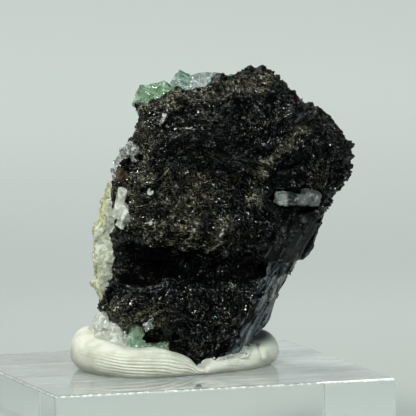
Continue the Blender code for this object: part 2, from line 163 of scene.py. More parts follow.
def apply_modifier(item: bpy.types.Object, kind: str, **settings: object) -> None:
    """Adds a modifier and applies it.

    Args:
        item: The object.
        kind: The modifier's type.
        **settings: Its settings by name.
    """
    make_active(item)
    modifier = item.modifiers.new(kind.lower(), kind)
    for name, value in settings.items():
        setattr(modifier, name, value)
    bpy.ops.object.modifier_apply(modifier=modifier.name)


def new_object(name: str, data: bpy.types.ID) -> bpy.types.Object:
    """Adds an object with the given mesh, camera or lamp to the scene.

    Args:
        name: The object's name.
        data: What it holds.

    Returns:
        The new object.
    """
    item = bpy.data.objects.new(name, data)
    bpy.context.scene.collection.objects.link(item)
    return item


def copy_of_node(node: str, name: str) -> bpy.types.Object:
    """Copies a CAD node's mesh as a new piece, with its loose triangles merged.

    Args:
        node: The node's name.
        name: The new piece's name.

    Returns:
        The new object.
    """
    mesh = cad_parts[node].data.copy()
    mesh.name = name
    mesh.materials.clear()
    bm = bmesh.new()
    bm.from_mesh(mesh)
    bmesh.ops.remove_doubles(bm, verts=bm.verts, dist=1e-6)
    bm.to_mesh(mesh)
    bm.free()
    return new_object(name, mesh)


def drop_loose_bits(item: bpy.types.Object, smallest: int = 100) -> None:
    """Deletes the loose bits that remeshing leaves.

    Args:
        item: The object.
        smallest: How many points a part needs to stay.
    """
    bm = bmesh.new()
    bm.from_mesh(item.data)
    unseen = set(bm.verts)
    bits = []
    while unseen:
        part = [unseen.pop()]
        for vert in part:
            for edge in vert.link_edges:
                other = edge.other_vert(vert)
                if other in unseen:
                    unseen.discard(other)
                    part.append(other)
        if len(part) < smallest:
            bits.extend(part)
    bmesh.ops.delete(bm, geom=bits, context="VERTS")
    bm.to_mesh(item.data)
    bm.free()


def remeshed_copy(node: str, name: str, voxel: float, softness: float, rounds: int) -> bpy.types.Object:
    """Copies a CAD node's mesh as a new piece of small even squares, with its edges softened.

    Args:
        node: The node's name.
        name: The new piece's name.
        voxel: The size of the squares in millimetres.
        softness: How far each round of smoothing goes, from 0 to 1.
        rounds: How many rounds of smoothing there are.

    Returns:
        The new object.
    """
    item = copy_of_node(node, name)
    apply_modifier(item, "REMESH", mode="VOXEL", voxel_size=voxel * MM)
    drop_loose_bits(item)
    apply_modifier(item, "SMOOTH", factor=softness, iterations=rounds)
    return item


def smooth_by_angle(item: bpy.types.Object, degrees: float) -> None:
    """Shades a piece smooth, apart from edges that turn by more than an angle."""
    make_active(item)
    bpy.ops.object.shade_smooth_by_angle(angle=math.radians(degrees))


def local_points(item: bpy.types.Object) -> list[Vector]:
    """Returns a mesh's points in the specimen's frame."""
    return [TO_LOCAL @ vert.co for vert in item.data.vertices]


def local_normals(item: bpy.types.Object) -> list[Vector]:
    """Returns a mesh's point normals in the specimen's frame."""
    turn = TO_LOCAL.to_3x3().normalized()
    return [turn @ corner.vector for corner in item.data.vertex_normals]


def move_points(item: bpy.types.Object, points: list[Vector]) -> None:
    """Moves a mesh's points to places in the specimen's frame.

    Args:
        item: The object.
        points: The new places, in the mesh's order.
    """
    flat = np.array([TO_WORLD @ point for point in points], np.float32).ravel()
    item.data.vertices.foreach_set("co", flat)
    item.data.update()


def set_attribute(item: bpy.types.Object, name: str, values: list[float]) -> None:
    """Stores one number for each point of a mesh."""
    layer = item.data.attributes.new(name, "FLOAT", "POINT")
    layer.data.foreach_set("value", np.array(values, np.float32))


def flow_place(point: Vector) -> Vector:
    """Returns a place measured along and across the bands that rise to the right and swing about.

    Args:
        point: A place in the specimen's frame.

    Returns:
        Its distance along the bands, across them, and through the mass.
    """
    angle = math.radians(BAND_TURN + BAND_SWING * noise.noise(point / BAND_BEND))
    along = point.x * math.cos(angle) + point.z * math.sin(angle)
    across = point.z * math.cos(angle) - point.x * math.sin(angle) + BAND_DIP * point.y
    return Vector((along, across, point.y))


def set_flow(item: bpy.types.Object, points: list[Vector]) -> None:
    """Stores each point's place along the bands, drawn out along them, for the finishes.

    Args:
        item: The object.
        points: Its points in the specimen's frame.
    """
    places = [flow_place(point) for point in points]
    flat = np.array([(place.x / BAND_DRAW, place.y, place.z) for place in places], np.float32)
    layer = item.data.attributes.new("flow", "FLOAT_VECTOR", "POINT")
    layer.data.foreach_set("vector", flat.ravel())


def finish_piece(item: bpy.types.Object, material: bpy.types.Material, slot: str, *nodes: str) -> None:
    """Dresses a piece and ties it to the frame.

    Args:
        item: The piece.
        material: Its finish.
        slot: The record's slot of that finish; not used.
        *nodes: The CAD nodes that it stands for.
    """
    item.data.materials.clear()
    item.data.materials.append(material)
    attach(item, BODY)
    if nodes:
        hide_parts(*nodes)
    triangles = sum(len(face.vertices) - 2 for face in item.data.polygons)
    LOG.info("%s: %d triangles", item.name, triangles)


def facet_height(point: Vector, size: float, stretch: float, step: float, tilt: float) -> tuple[float, float]:
    """Returns the relief of broken facets: each cell is a small plane of its own height and tilt.

    Args:
        point: A place in the specimen's frame.
        size: The size of one cell.
        stretch: How much longer a cell is along the crystals' axis.
        step: The height from one cell to the next.
        tilt: The slope of a cell.

    Returns:
        The height at that place, and how far inside its cell it is, from 0 on the border to about 1.
    """
    along = point.dot(CRYSTAL_AXIS)
    squeezed = (point - CRYSTAL_AXIS * along * (1.0 - 1.0 / stretch)) / size
    distances, seeds = noise.voronoi(squeezed)
    seed = seeds[0] * 7.3
    slope = Vector([noise.noise(seed + offset) for offset in NOISE_OFFSETS])
    height = step * noise.noise(seed) + tilt * size * slope.dot(squeezed - seeds[0])
    return height, distances[1] - distances[0]


@dataclass(frozen=True)
class Area:
    """A rounded area of the front or back, with a weight that fades at its border."""

    x: float
    z: float
    half_width: float
    half_height: float
    turn: float
    weight: float

    def at(self, point: Vector) -> float:
        """Returns the area's weight at a place.

        Args:
            point: A place in the specimen's frame.

        Returns:
            The weight, 0 outside the area.
        """
        angle = math.radians(self.turn)
        dx = point.x - self.x
        dz = point.z - self.z
        along = (dx * math.cos(angle) + dz * math.sin(angle)) / self.half_width
        across = (dz * math.cos(angle) - dx * math.sin(angle)) / self.half_height
        return self.weight * smooth_step(1.6 - math.hypot(along, across))


def summed(areas: tuple[Area, ...], point: Vector) -> float:
    """Returns the weights of several areas at a place, added up."""
    return sum(area.at(point) for area in areas)


def facing_front(normal: Vector) -> float:
    """Returns 1 where the surface faces the front, fading to 0 towards the back."""
    return rise(normal.y, 0.2, -0.3)


class Bench:
    """The node tree of one material, with short ways to add and join nodes."""

    def __init__(self, name: str) -> None:
        """Makes an empty Principled material.

        Args:
            name: The material's name.
        """
        self.material = bpy.data.materials.new(name)
        self.material.use_nodes = True
        self.tree = self.material.node_tree
        self.shader = self.tree.nodes["Principled BSDF"]
        self.place = self.tree.nodes.new("ShaderNodeTexCoord").outputs["Object"]

    def put(self, socket: bpy.types.NodeSocket, value: object) -> None:
        """Links a socket to another one, or sets its value.

        Args:
            socket: The input.
            value: A socket, a number, or three numbers.
        """
        if isinstance(value, bpy.types.NodeSocket):
            self.tree.links.new(value, socket)
        elif socket.type == "RGBA" and len(value) == 3:
            socket.default_value = (*value, 1.0)
        else:
            socket.default_value = value

    def add(self, kind: str, inputs: dict, **settings: object) -> bpy.types.Node:
        """Adds a node.

        Args:
            kind: The node's type, without its ShaderNode prefix.
            inputs: Values or sockets by input name or number.
            **settings: The node's own settings.

        Returns:
            The new node.
        """
        node = self.tree.nodes.new("ShaderNode" + kind)
        for name, value in settings.items():
            setattr(node, name, value)
        for name, value in inputs.items():
            self.put(node.inputs[name], value)
        return node

    def surface(self, inputs: dict) -> None:
        """Sets the shader's inputs."""
        for name, value in inputs.items():
            self.put(self.shader.inputs[name], value)

    def noise(self, size: float, detail: float = 2.0, place: object = None, bent: float = 0.0) -> object:
        """Returns a noise of a given size in millimetres, bent by its own waves where that is asked for.

        Args:
            size: The size of its waves in millimetres.
            detail: How many finer layers it has.
            place: The places to read, where they aren't the object's own.
            bent: How far it is bent by its own waves.

        Returns:
            The noise, from 0 to 1.
        """
        inputs = {"Scale": 1.0 / (size * MM), "Detail": detail, "Distortion": bent}
        inputs["Vector"] = place or self.place
        return self.add("TexNoise", inputs).outputs["Fac"]

    def drawn_noise(self, place: object, size: float = 1.0) -> object:
        """Returns a noise over places that were drawn out, of a given size in their own unit."""
        return self.add("TexNoise", {"Vector": place, "Scale": 1.0 / size, "Detail": 2.0}).outputs["Fac"]

    def cells(self, size: float) -> bpy.types.Node:
        """Returns a cell texture of a given size in millimetres."""
        return self.add("TexVoronoi", {"Scale": 1.0 / (size * MM), "Vector": self.place})

    def vector(self, operation: str, inputs: dict) -> object:
        """Returns the result of a sum, product or other step with vectors."""
        return self.add("VectorMath", inputs, operation=operation).outputs["Vector"]

    def rise(self, value: object, low: float, high: float) -> object:
        """Returns a smooth rise from 0 to 1 as a value goes from low to high."""
        inputs = {"Value": value, "From Min": low, "From Max": high}
        return self.add("MapRange", inputs, interpolation_type="SMOOTHSTEP").outputs["Result"]

    def calc(self, operation: str, first: object, second: object) -> object:
        """Returns a sum, product or other result of two values."""
        return self.add("Math", {0: first, 1: second}, operation=operation).outputs["Value"]

    def mix(self, share: object, first: object, second: object) -> object:
        """Returns a mix of two colours."""
        return self.add("Mix", {0: share, 6: first, 7: second}, data_type="RGBA").outputs[2]

    def blend(self, share: object, first: object, second: object) -> object:
        """Returns a mix of two numbers."""
        return self.add("Mix", {0: share, 2: first, 3: second}).outputs[0]

    def read(self, name: str) -> object:
        """Returns the mesh's own numbers of that name."""
        return self.add("Attribute", {}, attribute_name=name).outputs["Fac"]

    def bump(self, height: object, depth: float, normal: object = None) -> object:
        """Returns a normal bent by a height whose full range is depth in millimetres.

        Args:
            height: The height, from 0 to 1.
            depth: What a height of 1 is in millimetres.
            normal: The normal to bend, where it isn't the surface's own.

        Returns:
            The bent normal.
        """
        inputs = {"Height": height, "Distance": depth * MM, "Strength": 1.0}
        if normal is not None:
            inputs["Normal"] = normal
        return self.add("Bump", inputs).outputs["Normal"]

    def along_axis(self, across: float, along: float) -> object:
        """Returns places turned to the crystals' axis and squeezed, so that a pattern is drawn out along it.

        Args:
            across: The pattern's size across the axis, in millimetres.
            along: Its size along the axis, in millimetres.

        Returns:
            The places, for a texture of scale 1.
        """
        axis = (TO_WORLD.to_3x3() @ CRYSTAL_AXIS).normalized()
        turn = axis.rotation_difference(Vector((0.0, 0.0, 1.0))).to_euler()
        turned = self.add("Mapping", {"Vector": self.place, "Rotation": tuple(turn)}).outputs["Vector"]
        scale = (1.0 / (across * MM), 1.0 / (across * MM), 1.0 / (along * MM))
        return self.add("Mapping", {"Vector": turned, "Scale": scale}).outputs["Vector"]


@dataclass(frozen=True)
class SchorlFinish:
    """Glassy black tourmaline in crumpled sheets, with glinting facets, tan dust on the sheets' rims, and
    painted sheen on the striated faces.
    """

    name: str = "schorl"
    black: Colour = (0.0016, 0.0019, 0.0020)
    # Blue-grey painted sheen of the striated faces, where they mirror the pale surroundings
    satin_sheen: Colour = (0.200, 0.250, 0.265)
    # Tan-grey of the striated faces' outer edge: partly wear, partly painted light
    worn: Colour = (0.340, 0.340, 0.285)
    tan: Colour = (0.235, 0.212, 0.105)
    bright_tan: Colour = (0.60, 0.57, 0.39)
    pale: Colour = (0.50, 0.51, 0.46)
    stain: Colour = (0.085, 0.055, 0.038)
    ior: float = 1.63
    sheet_size: float = 1.1
    sheet_count: float = 7.0
    sheet_depth: float = 0.030
    sheet_rims: Span = (0.74, 0.93)
    swirl_size: float = 0.9
    swirl_reach: float = 1.3
    patch_size: float = 2.4
    patch_share: float = 1.2
    dust_share: float = 0.8
    rim_patches: Span = (1.0, 1.4)
    rim_cover: float = 0.42
    bright_patches: Span = (1.15, 1.45)
    mottle_size: float = 0.4
    mottles: Span = (0.38, 0.60)
    mottle_share: float = 0.25
    speck_size: float = 0.11
    speck_share: float = 0.15
    specks: Span = (0.78, 0.84)
    line_size: Span = (0.13, 5.0)
    dark_lines: Span = (0.42, 0.50)
    column_size: Span = (0.55, 9.0)
    # The striated faces' painted sheen: how the stored paleness lifts it, and where its blue-grey and
    # tan-grey strips begin
    shade_share: float = 0.3
    sheen_strips: Span = (0.60, 0.65)
    worn_and_lit_strips: Span = (0.80, 0.86)
    rib_depth: float = 0.12
    facet_size: float = 0.10
    facet_tilt: float = 0.55
    striated_tilt: float = 0.06
    glint_cells: Span = (0.78, 0.90)
    gloss_level: float = 0.10
    glint_level: float = 1.0
    # Painted shade: the gloss left in the hollows
    pit_shade_gloss: float = 0.04
    striated_gloss: float = 0.18
    glassy: Span = (0.05, 0.22)
    striated_rough: float = 0.30
    dust_rough: float = 0.60

    def make(self) -> bpy.types.Material:
        """Makes the material.

        Returns:
            The material.
        """
        bench = Bench(self.name)
        striated = bench.read("striated")
        flow = bench.add("Attribute", {}, attribute_name="flow").outputs["Vector"]
        sheets = self.sheets(bench, flow)
        lines = bench.drawn_noise(bench.along_axis(*self.line_size))
        cover, tone = self.dust(bench, flow, sheets)
        colour = bench.mix(cover, self.black, tone)
        colour = bench.mix(striated, colour, self.columns(bench, lines))
        colour = bench.mix(bench.rise(bench.read("vein"), 0.35, 0.8), colour, self.pale)
        colour = bench.mix(bench.rise(bench.read("stain"), 0.2, 0.8), colour, self.stain)
        cell = bench.add("TexVoronoi", {"Vector": flow, "Scale": 1.0 / self.facet_size}).outputs["Color"]
        rough = bench.blend(bench.noise(0.5), *self.glassy)
        rough = bench.blend(striated, rough, self.striated_rough)
        bench.surface({
            "Base Color": colour,
            "Roughness": bench.blend(cover, rough, self.dust_rough),
            "IOR": self.ior,
            "Specular IOR Level": self.gloss(bench, cell, striated),
            "Normal": self.tilted(bench, cell, sheets, lines, striated),
        })
        return bench.material

    def sheets(self, bench: Bench, flow: object) -> object:
        """Draws the crumpled sheets that the broken faces are made of.

        Args:
            bench: The material's bench.
            flow: The places along the bands.

        Returns:
            The height in one sheet, which goes from 0 to 1 and starts again with the next.
        """
        swirl = bench.add("TexNoise", {"Vector": flow, "Scale": 1.0 / self.swirl_size, "Detail": 2.0})
        reach = (self.swirl_reach, self.swirl_reach, self.swirl_reach)
        swirled = bench.vector("MULTIPLY_ADD", {0: swirl.outputs["Color"], 1: reach, 2: flow})
        inputs = {"Vector": swirled, "Scale": 1.0 / self.sheet_size, "Detail": 3.0, "Roughness": 0.6}
        layers = bench.add("TexNoise", inputs).outputs["Fac"]
        return bench.calc("FRACT", bench.calc("MULTIPLY", layers, self.sheet_count), 0.0)

    def dust(self, bench: Bench, flow: object, sheets: object) -> tuple[object, object]:
        """Lays tan dust on the sheets' rims, and in specks between them.

        Args:
            bench: The material's bench.
            flow: The places along the bands.
            sheets: The height in the sheets.

        Returns:
            How much of the black is covered, and the dust's colour.
        """
        rims = bench.rise(sheets, *self.sheet_rims)
        wide = bench.calc("MULTIPLY", bench.noise(self.patch_size, 4.0), self.patch_share)
        patches = bench.calc("ADD", wide, bench.calc("MULTIPLY", bench.read("dust"), self.dust_share))
        speck = bench.drawn_noise(flow, self.speck_size)
        speck = bench.calc("ADD", speck, bench.calc("MULTIPLY", patches, self.speck_share))
        lined = bench.calc("MULTIPLY", rims, bench.rise(patches, *self.rim_patches))
        lined = bench.calc("MULTIPLY", lined, self.rim_cover)
        cover = bench.calc("MAXIMUM", lined, bench.rise(speck, *self.specks))
        tone = bench.mix(bench.rise(patches, *self.bright_patches), self.tan, self.bright_tan)
        dark_tan = tuple(self.mottle_share * part for part in self.tan)
        return cover, bench.mix(bench.rise(bench.noise(self.mottle_size), *self.mottles), tone, dark_tan)

    def columns(self, bench: Bench, lines: object) -> object:
        """Colours the striated faces: black strips, blue-grey strips of painted sheen, and tan-grey strips
        that are partly wear and partly painted light, with fine black lines along them.

        Args:
            bench: The material's bench.
            lines: The fine lines along the crystals' axis.

        Returns:
            The colour.
        """
        shade = bench.read("shade")
        broad = bench.drawn_noise(bench.along_axis(*self.column_size))
        paler = bench.calc("ADD", broad, bench.calc("MULTIPLY", shade, self.shade_share))
        # Painted sheen: blue-grey strips on the black, then tan-grey strips that are partly painted light
        column = bench.mix(bench.rise(paler, *self.sheen_strips), self.black, self.satin_sheen)
        column = bench.mix(bench.rise(paler, *self.worn_and_lit_strips), column, self.worn)
        shown = bench.calc("MULTIPLY", bench.rise(lines, *self.dark_lines), shade)
        return bench.mix(shown, self.black, column)

    def gloss(self, bench: Bench, cell: object, striated: object) -> object:
        """Makes a few facets glint and the striated faces softly glossy, and dulls the hollows as painted
        shade.

        Args:
            bench: The material's bench.
            cell: The facets' random colours.
            striated: The share of a striated face.

        Returns:
            The specular level.
        """
        glint = bench.rise(bench.add("SeparateXYZ", {0: cell}).outputs["X"], *self.glint_cells)
        level = bench.blend(glint, self.gloss_level, self.glint_level)
        level = bench.blend(striated, level, self.striated_gloss)
        # Painted shade: the gloss is lowered in the hollows, and by half on the smooth bands
        return bench.blend(bench.read("pit"), level, self.pit_shade_gloss)

    def tilted(self, bench: Bench, cell: object, sheets: object, lines: object, striated: object) -> object:
        """Tilts each facet its own way, and adds the sheets' steps and the ribs.

        Args:
            bench: The material's bench.
            cell: The facets' random colours.
            sheets: The height in the sheets.
            lines: The fine lines along the crystals' axis.
            striated: The share of a striated face.

        Returns:
            The normal.
        """
        tilt = bench.vector("SUBTRACT", {0: cell, 1: (0.5, 0.5, 0.5)})
        strength = bench.blend(striated, self.facet_tilt, self.striated_tilt)
        tilt = bench.vector("SCALE", {0: tilt, "Scale": strength})
        normal = bench.add("NewGeometry", {}).outputs["Normal"]
        bent = bench.vector("NORMALIZE", {0: bench.vector("ADD", {0: normal, 1: tilt})})
        plain = bench.calc("SUBTRACT", 1.0, striated)
        bent = bench.bump(bench.calc("MULTIPLY", sheets, plain), self.sheet_depth, bent)
        return bench.bump(bench.calc("MULTIPLY", lines, striated), self.rib_depth, bent)


@dataclass(frozen=True)
class CrystalFinish:
    """A see-through or cloudy crystal, with flaws inside that show as paler patches."""

    name: str
    tint: Colour
    deep_tint: Colour
    cloud: Colour
    cloud_share: float
    ior: float
    roughness: float
    clear: float
    flaw_size: float = 0.5
    grain: float = 0.012
    grain_size: float = 0.16
    deep_cloud: float = 0.4
    cloudy_clear: float = 0.25
    cloudy_rough: float = 0.25

    def make(self) -> bpy.types.Material:
        """Makes the material.

        Returns:
            The material.
        """
        bench = Bench(self.name)
        patches = bench.noise(self.flaw_size, 4.0, bent=0.6)
        clouded = bench.rise(patches, 0.62 - 0.25 * self.cloud_share, 0.74 - 0.2 * self.cloud_share)
        zone = bench.read("zone")
        clear_tone = bench.mix(zone, self.tint, self.deep_tint)
        cloudy = bench.calc("MULTIPLY", clouded, bench.blend(zone, 1.0, self.deep_cloud))
        colour = bench.mix(cloudy, clear_tone, self.cloud)
        through = bench.blend(clouded, self.clear, self.clear * self.cloudy_clear)
        rough = bench.blend(clouded, self.roughness, min(self.roughness + self.cloudy_rough, 1.0))
        normal = bench.bump(bench.noise(self.grain_size, 3.0), self.grain)
        bench.surface({
            "Base Color": colour,
            "Roughness": rough,
            "IOR": self.ior,
            "Transmission Weight": through,
            "Normal": normal,
        })
        return bench.material


@dataclass(frozen=True)
class PuttyFinish:
    """Matt off-white display putty, with a slight oily sheen, specks of dark dust, and a painted shadow of
    the mass on its right end.
    """

    name: str = "putty"
    pale: Colour = (0.735, 0.740, 0.640)
    worn: Colour = (0.560, 0.560, 0.455)
    speck: Colour = (0.060, 0.055, 0.045)
    # Painted shadow: the near-black colour laid on the rope's right end, where the mass's shade falls
    painted_shadow: Colour = (0.010, 0.012, 0.010)
    worn_size: float = 2.4
    worn_patches: Span = (0.42, 0.72)
    speck_gap: float = 1.9
    speck_edge: Span = (0.075, 0.045)
    mark_size: float = 0.35
    marks: Span = (0.70, 0.80)
    mark_share: float = 0.5
    dents: tuple[tuple[float, float, float], ...] = ((0.9, 3.0, 0.10), (0.20, 4.0, 0.045))
    roughness: float = 0.58
    glow: float = 0.12
    glow_depth: float = 1.5

    def make(self) -> bpy.types.Material:
        """Makes the material.

        Returns:
            The material.
        """
        bench = Bench(self.name)
        patches = bench.rise(bench.noise(self.worn_size, 3.0), *self.worn_patches)
        colour = bench.mix(patches, self.pale, self.worn)
        specks = bench.rise(bench.cells(self.speck_gap).outputs["Distance"], *self.speck_edge)
        colour = bench.mix(specks, colour, self.speck)
        marks = bench.rise(bench.noise(self.mark_size, 3.0), *self.marks)
        colour = bench.mix(bench.calc("MULTIPLY", marks, self.mark_share), colour, self.worn)
        # Painted shadow of the mass on the rope's right end
        colour = bench.mix(bench.read("painted_shadow"), colour, self.painted_shadow)
        normal = None
        for size, detail, depth in self.dents:
            normal = bench.bump(bench.noise(size, detail), depth, normal)
        bench.surface({
            "Base Color": colour,
            "Roughness": self.roughness,
            "Subsurface Weight": self.glow,
            "Subsurface Scale": self.glow_depth * MM,
            "Normal": normal,
        })
        return bench.material


@dataclass(frozen=True)
class AcrylicFinish:
    """Polished clear acrylic. Whitish streaks on its top, thicker to the right and shown mostly at grazing
    angles, are painted sheen for its bright reflection, and a whitish line on the bevelled edges is a painted
    highlight.
    """

    name: str = "acrylic"
    tint: Colour = (0.930, 0.945, 0.935)
    ior: float = 1.49
    # Painted sheen on the top: its whiteness between the streaks and on them, at the left and at the right
    left_sheen: Span = (0.30, 0.66)
    right_sheen: Span = (0.64, 1.0)
    sheen_across: Span = (-0.012, 0.010)
    top_height: Span = (0.010, 0.012)
    streak_size: float = 0.8
    streak_draw: tuple[float, float, float] = (0.12, 1.0, 1.0)
    streak_edge: Span = (0.45, 0.75)
    # Where the painted sheen fades from grazing views to steep ones, and what is left of it in steep ones
    grazing: Span = (0.30, 0.90)
    steep_sheen: float = 0.12
    sparkle_size: float = 0.5
    sparkles: Span = (0.40, 0.62)
    # Painted highlight on the bevelled edges: its whiteness where the sparkle noise is low and where it is
    # high
    edge_highlight: Span = (0.45, 0.95)
    roughness: Span = (0.010, 0.045)

    def make(self) -> bpy.types.Material:
        """Makes the material.

        Returns:
            The material.
        """
        bench = Bench(self.name)
        place = bench.add("SeparateXYZ", {0: bench.place}).outputs
        normal = bench.add("NewGeometry", {}).outputs["Normal"]
        upright = bench.add("SeparateXYZ", {0: normal}).outputs["Z"]
        # Painted sheen: the top turns whitish in streaks, thicker to the right, mostly where it is seen at a
        # grazing angle
        top = bench.calc("MULTIPLY", bench.rise(upright, 0.5, 0.95), bench.rise(place["Z"], *self.top_height))
        drawn = bench.add("Mapping", {"Vector": bench.place, "Scale": self.streak_draw}).outputs["Vector"]
        streaks = bench.rise(bench.noise(self.streak_size, 5.0, place=drawn, bent=0.8), *self.streak_edge)
        right = bench.rise(place["X"], *self.sheen_across)
        between = bench.blend(right, self.left_sheen[0], self.right_sheen[0])
        sheen_haze = bench.blend(streaks, between, bench.blend(right, self.left_sheen[1], self.right_sheen[1]))
        grazing = bench.rise(bench.add("LayerWeight", {}).outputs["Facing"], *self.grazing)
        sheen_haze = bench.calc("MULTIPLY", top, sheen_haze)
        sheen_haze = bench.calc("MULTIPLY", sheen_haze, bench.blend(grazing, self.steep_sheen, 1.0))
        # Painted highlight: the bevelled edges turn patchily whitish, to show as bright lines
        edge = bench.calc("MULTIPLY", bench.rise(upright, 0.10, 0.35), bench.rise(upright, 0.97, 0.80))
        sparkle = bench.rise(bench.noise(self.sparkle_size, 3.0), *self.sparkles)
        edge = bench.calc("MULTIPLY", edge, bench.blend(sparkle, *self.edge_highlight))
        sheen_haze = bench.calc("MAXIMUM", sheen_haze, edge)
        bench.surface({
            "Base Color": self.tint,
            "Roughness": bench.blend(bench.calc("MULTIPLY", top, streaks), *self.roughness),
            "IOR": self.ior,
            "Transmission Weight": bench.calc("SUBTRACT", 1.0, sheen_haze),
        })
        return bench.material


@dataclass(frozen=True)
class StriatedFace:
    """A grown face of the mass, ribbed along the crystals' axis."""

    point: Vector
    normal: Vector
    depth: float
    lean: float
    lean_fade: float = 0.16
    depth_fade: float = 0.7

    def share(self, place: Vector, normal: Vector) -> float:
        """Returns how much a place of the surface belongs to the face.

        Args:
            place: A place in the specimen's frame.
            normal: The surface's normal there.

        Returns:
            A share from 0 to 1.
        """
        below = -(place - self.point).dot(self.normal)
        facing = normal.dot(self.normal)
        near = smooth_step((self.depth - below) / self.depth_fade)
        return smooth_step((facing - self.lean) / self.lean_fade) * near


FACE_TURN = math.radians(25.0)
FACE_NORMAL = Vector((
    math.sin(PRISM_LEAN) * math.cos(FACE_TURN),
    -math.sin(FACE_TURN),
    -math.cos(PRISM_LEAN) * math.cos(FACE_TURN),
))

STRIATED_FACES = (
    StriatedFace(Vector((6.4, -8.2, 2.6)), FACE_NORMAL, 2.6, 0.74),
    StriatedFace(Vector((13.0, 0.0, 10.0)), Vector((0.84, 0.10, -0.53)).normalized(), 4.5, 0.62),
    StriatedFace(Vector((9.4, 8.0, 15.0)), Vector((0.28, 0.95, -0.12)).normalized(), 3.0, 0.80),
)

# Where the tan dust lies: x, z, half width, half height, turn in degrees, weight
DUST_AREAS = (
    Area(-4.6, 23.6, 2.4, 5.0, -14.0, 0.75),
    Area(-1.4, 19.0, 4.6, 3.4, 20.0, 0.70),
    Area(3.4, 20.4, 4.0, 1.5, 24.0, 0.65),
    Area(1.0, 15.4, 5.6, 2.0, 10.0, 0.70),
    Area(-4.6, 6.6, 3.6, 2.4, 6.0, 0.95),
    Area(2.6, 30.2, 6.0, 0.9, 8.0, 1.0),
    Area(9.4, 31.6, 1.9, 1.2, 20.0, 1.0),
    Area(9.2, 20.4, 0.8, 2.4, -15.0, 0.95),
    Area(10.6, 23.0, 0.9, 2.0, -35.0, 0.95),
    Area(12.9, 25.4, 0.8, 2.4, -50.0, 0.9),
    Area(5.0, 15.2, 0.9, 2.4, -32.0, 0.8),
    Area(14.6, 21.6, 2.0, 1.6, 20.0, 0.55),
    Area(4.2, 5.4, 4.6, 2.0, -30.0, 0.10),
    Area(13.4, 14.0, 0.6, 4.6, -32.0, 0.55),
)

# The columns that break out of the front at the right, and the broad striated face below them
COLUMN_AREAS = (
    Area(12.6, 13.8, 4.4, 1.5, 60.0, 1.0),
    Area(9.5, 5.2, 5.6, 1.4, 58.0, 1.0),
)

# Pale crumbs on the front: x, z, half width, half height, turn in degrees, weight
PALE_AREAS = (
    Area(-2.3, 20.2, 0.30, 0.55, 10.0, 0.8),
    Area(-2.4, 16.9, 0.40, 0.26, -20.0, 0.9),
    Area(5.5, 15.9, 0.20, 1.1, -32.0, 0.7),
    Area(6.9, 13.7, 0.16, 0.9, -32.0, 0.5),
    Area(-1.5, 8.6, 0.30, 0.16, 10.0, 0.6),
)

# Knobs that stand up from the mass's rim
KNOB_AREAS = (
    Area(5.1, 31.4, 0.55, 0.80, -20.0, 1.0),
    Area(-6.7, 19.6, 0.35, 0.60, 0.0, 0.6),
)

# Smooth dark bands, with fine lines alone
CALM_AREAS = (
    Area(3.2, 26.8, 3.2, 1.3, 4.0, 0.8),
    Area(6.4, 24.4, 2.8, 2.2, -20.0, 0.5),
    Area(-3.6, 11.2, 3.6, 2.6, 0.0, 1.0),
    Area(2.2, 12.0, 4.4, 1.5, -6.0, 0.8),
    Area(12.8, 21.6, 2.4, 1.5, 20.0, 0.9),
    Area(5.6, 28.4, 3.2, 1.2, 14.0, 0.5),
)

# Hollows that are deeper than the solid's own
HOLLOW_AREAS = (
    Area(-4.3, 12.0, 3.6, 1.5, 2.0, 1.0),
    Area(1.8, 11.8, 3.6, 0.9, -10.0, 0.9),
    Area(8.4, 11.2, 2.8, 0.6, 6.0, 0.6),
    Area(13.2, 21.9, 1.6, 0.6, 20.0, 0.3),
)


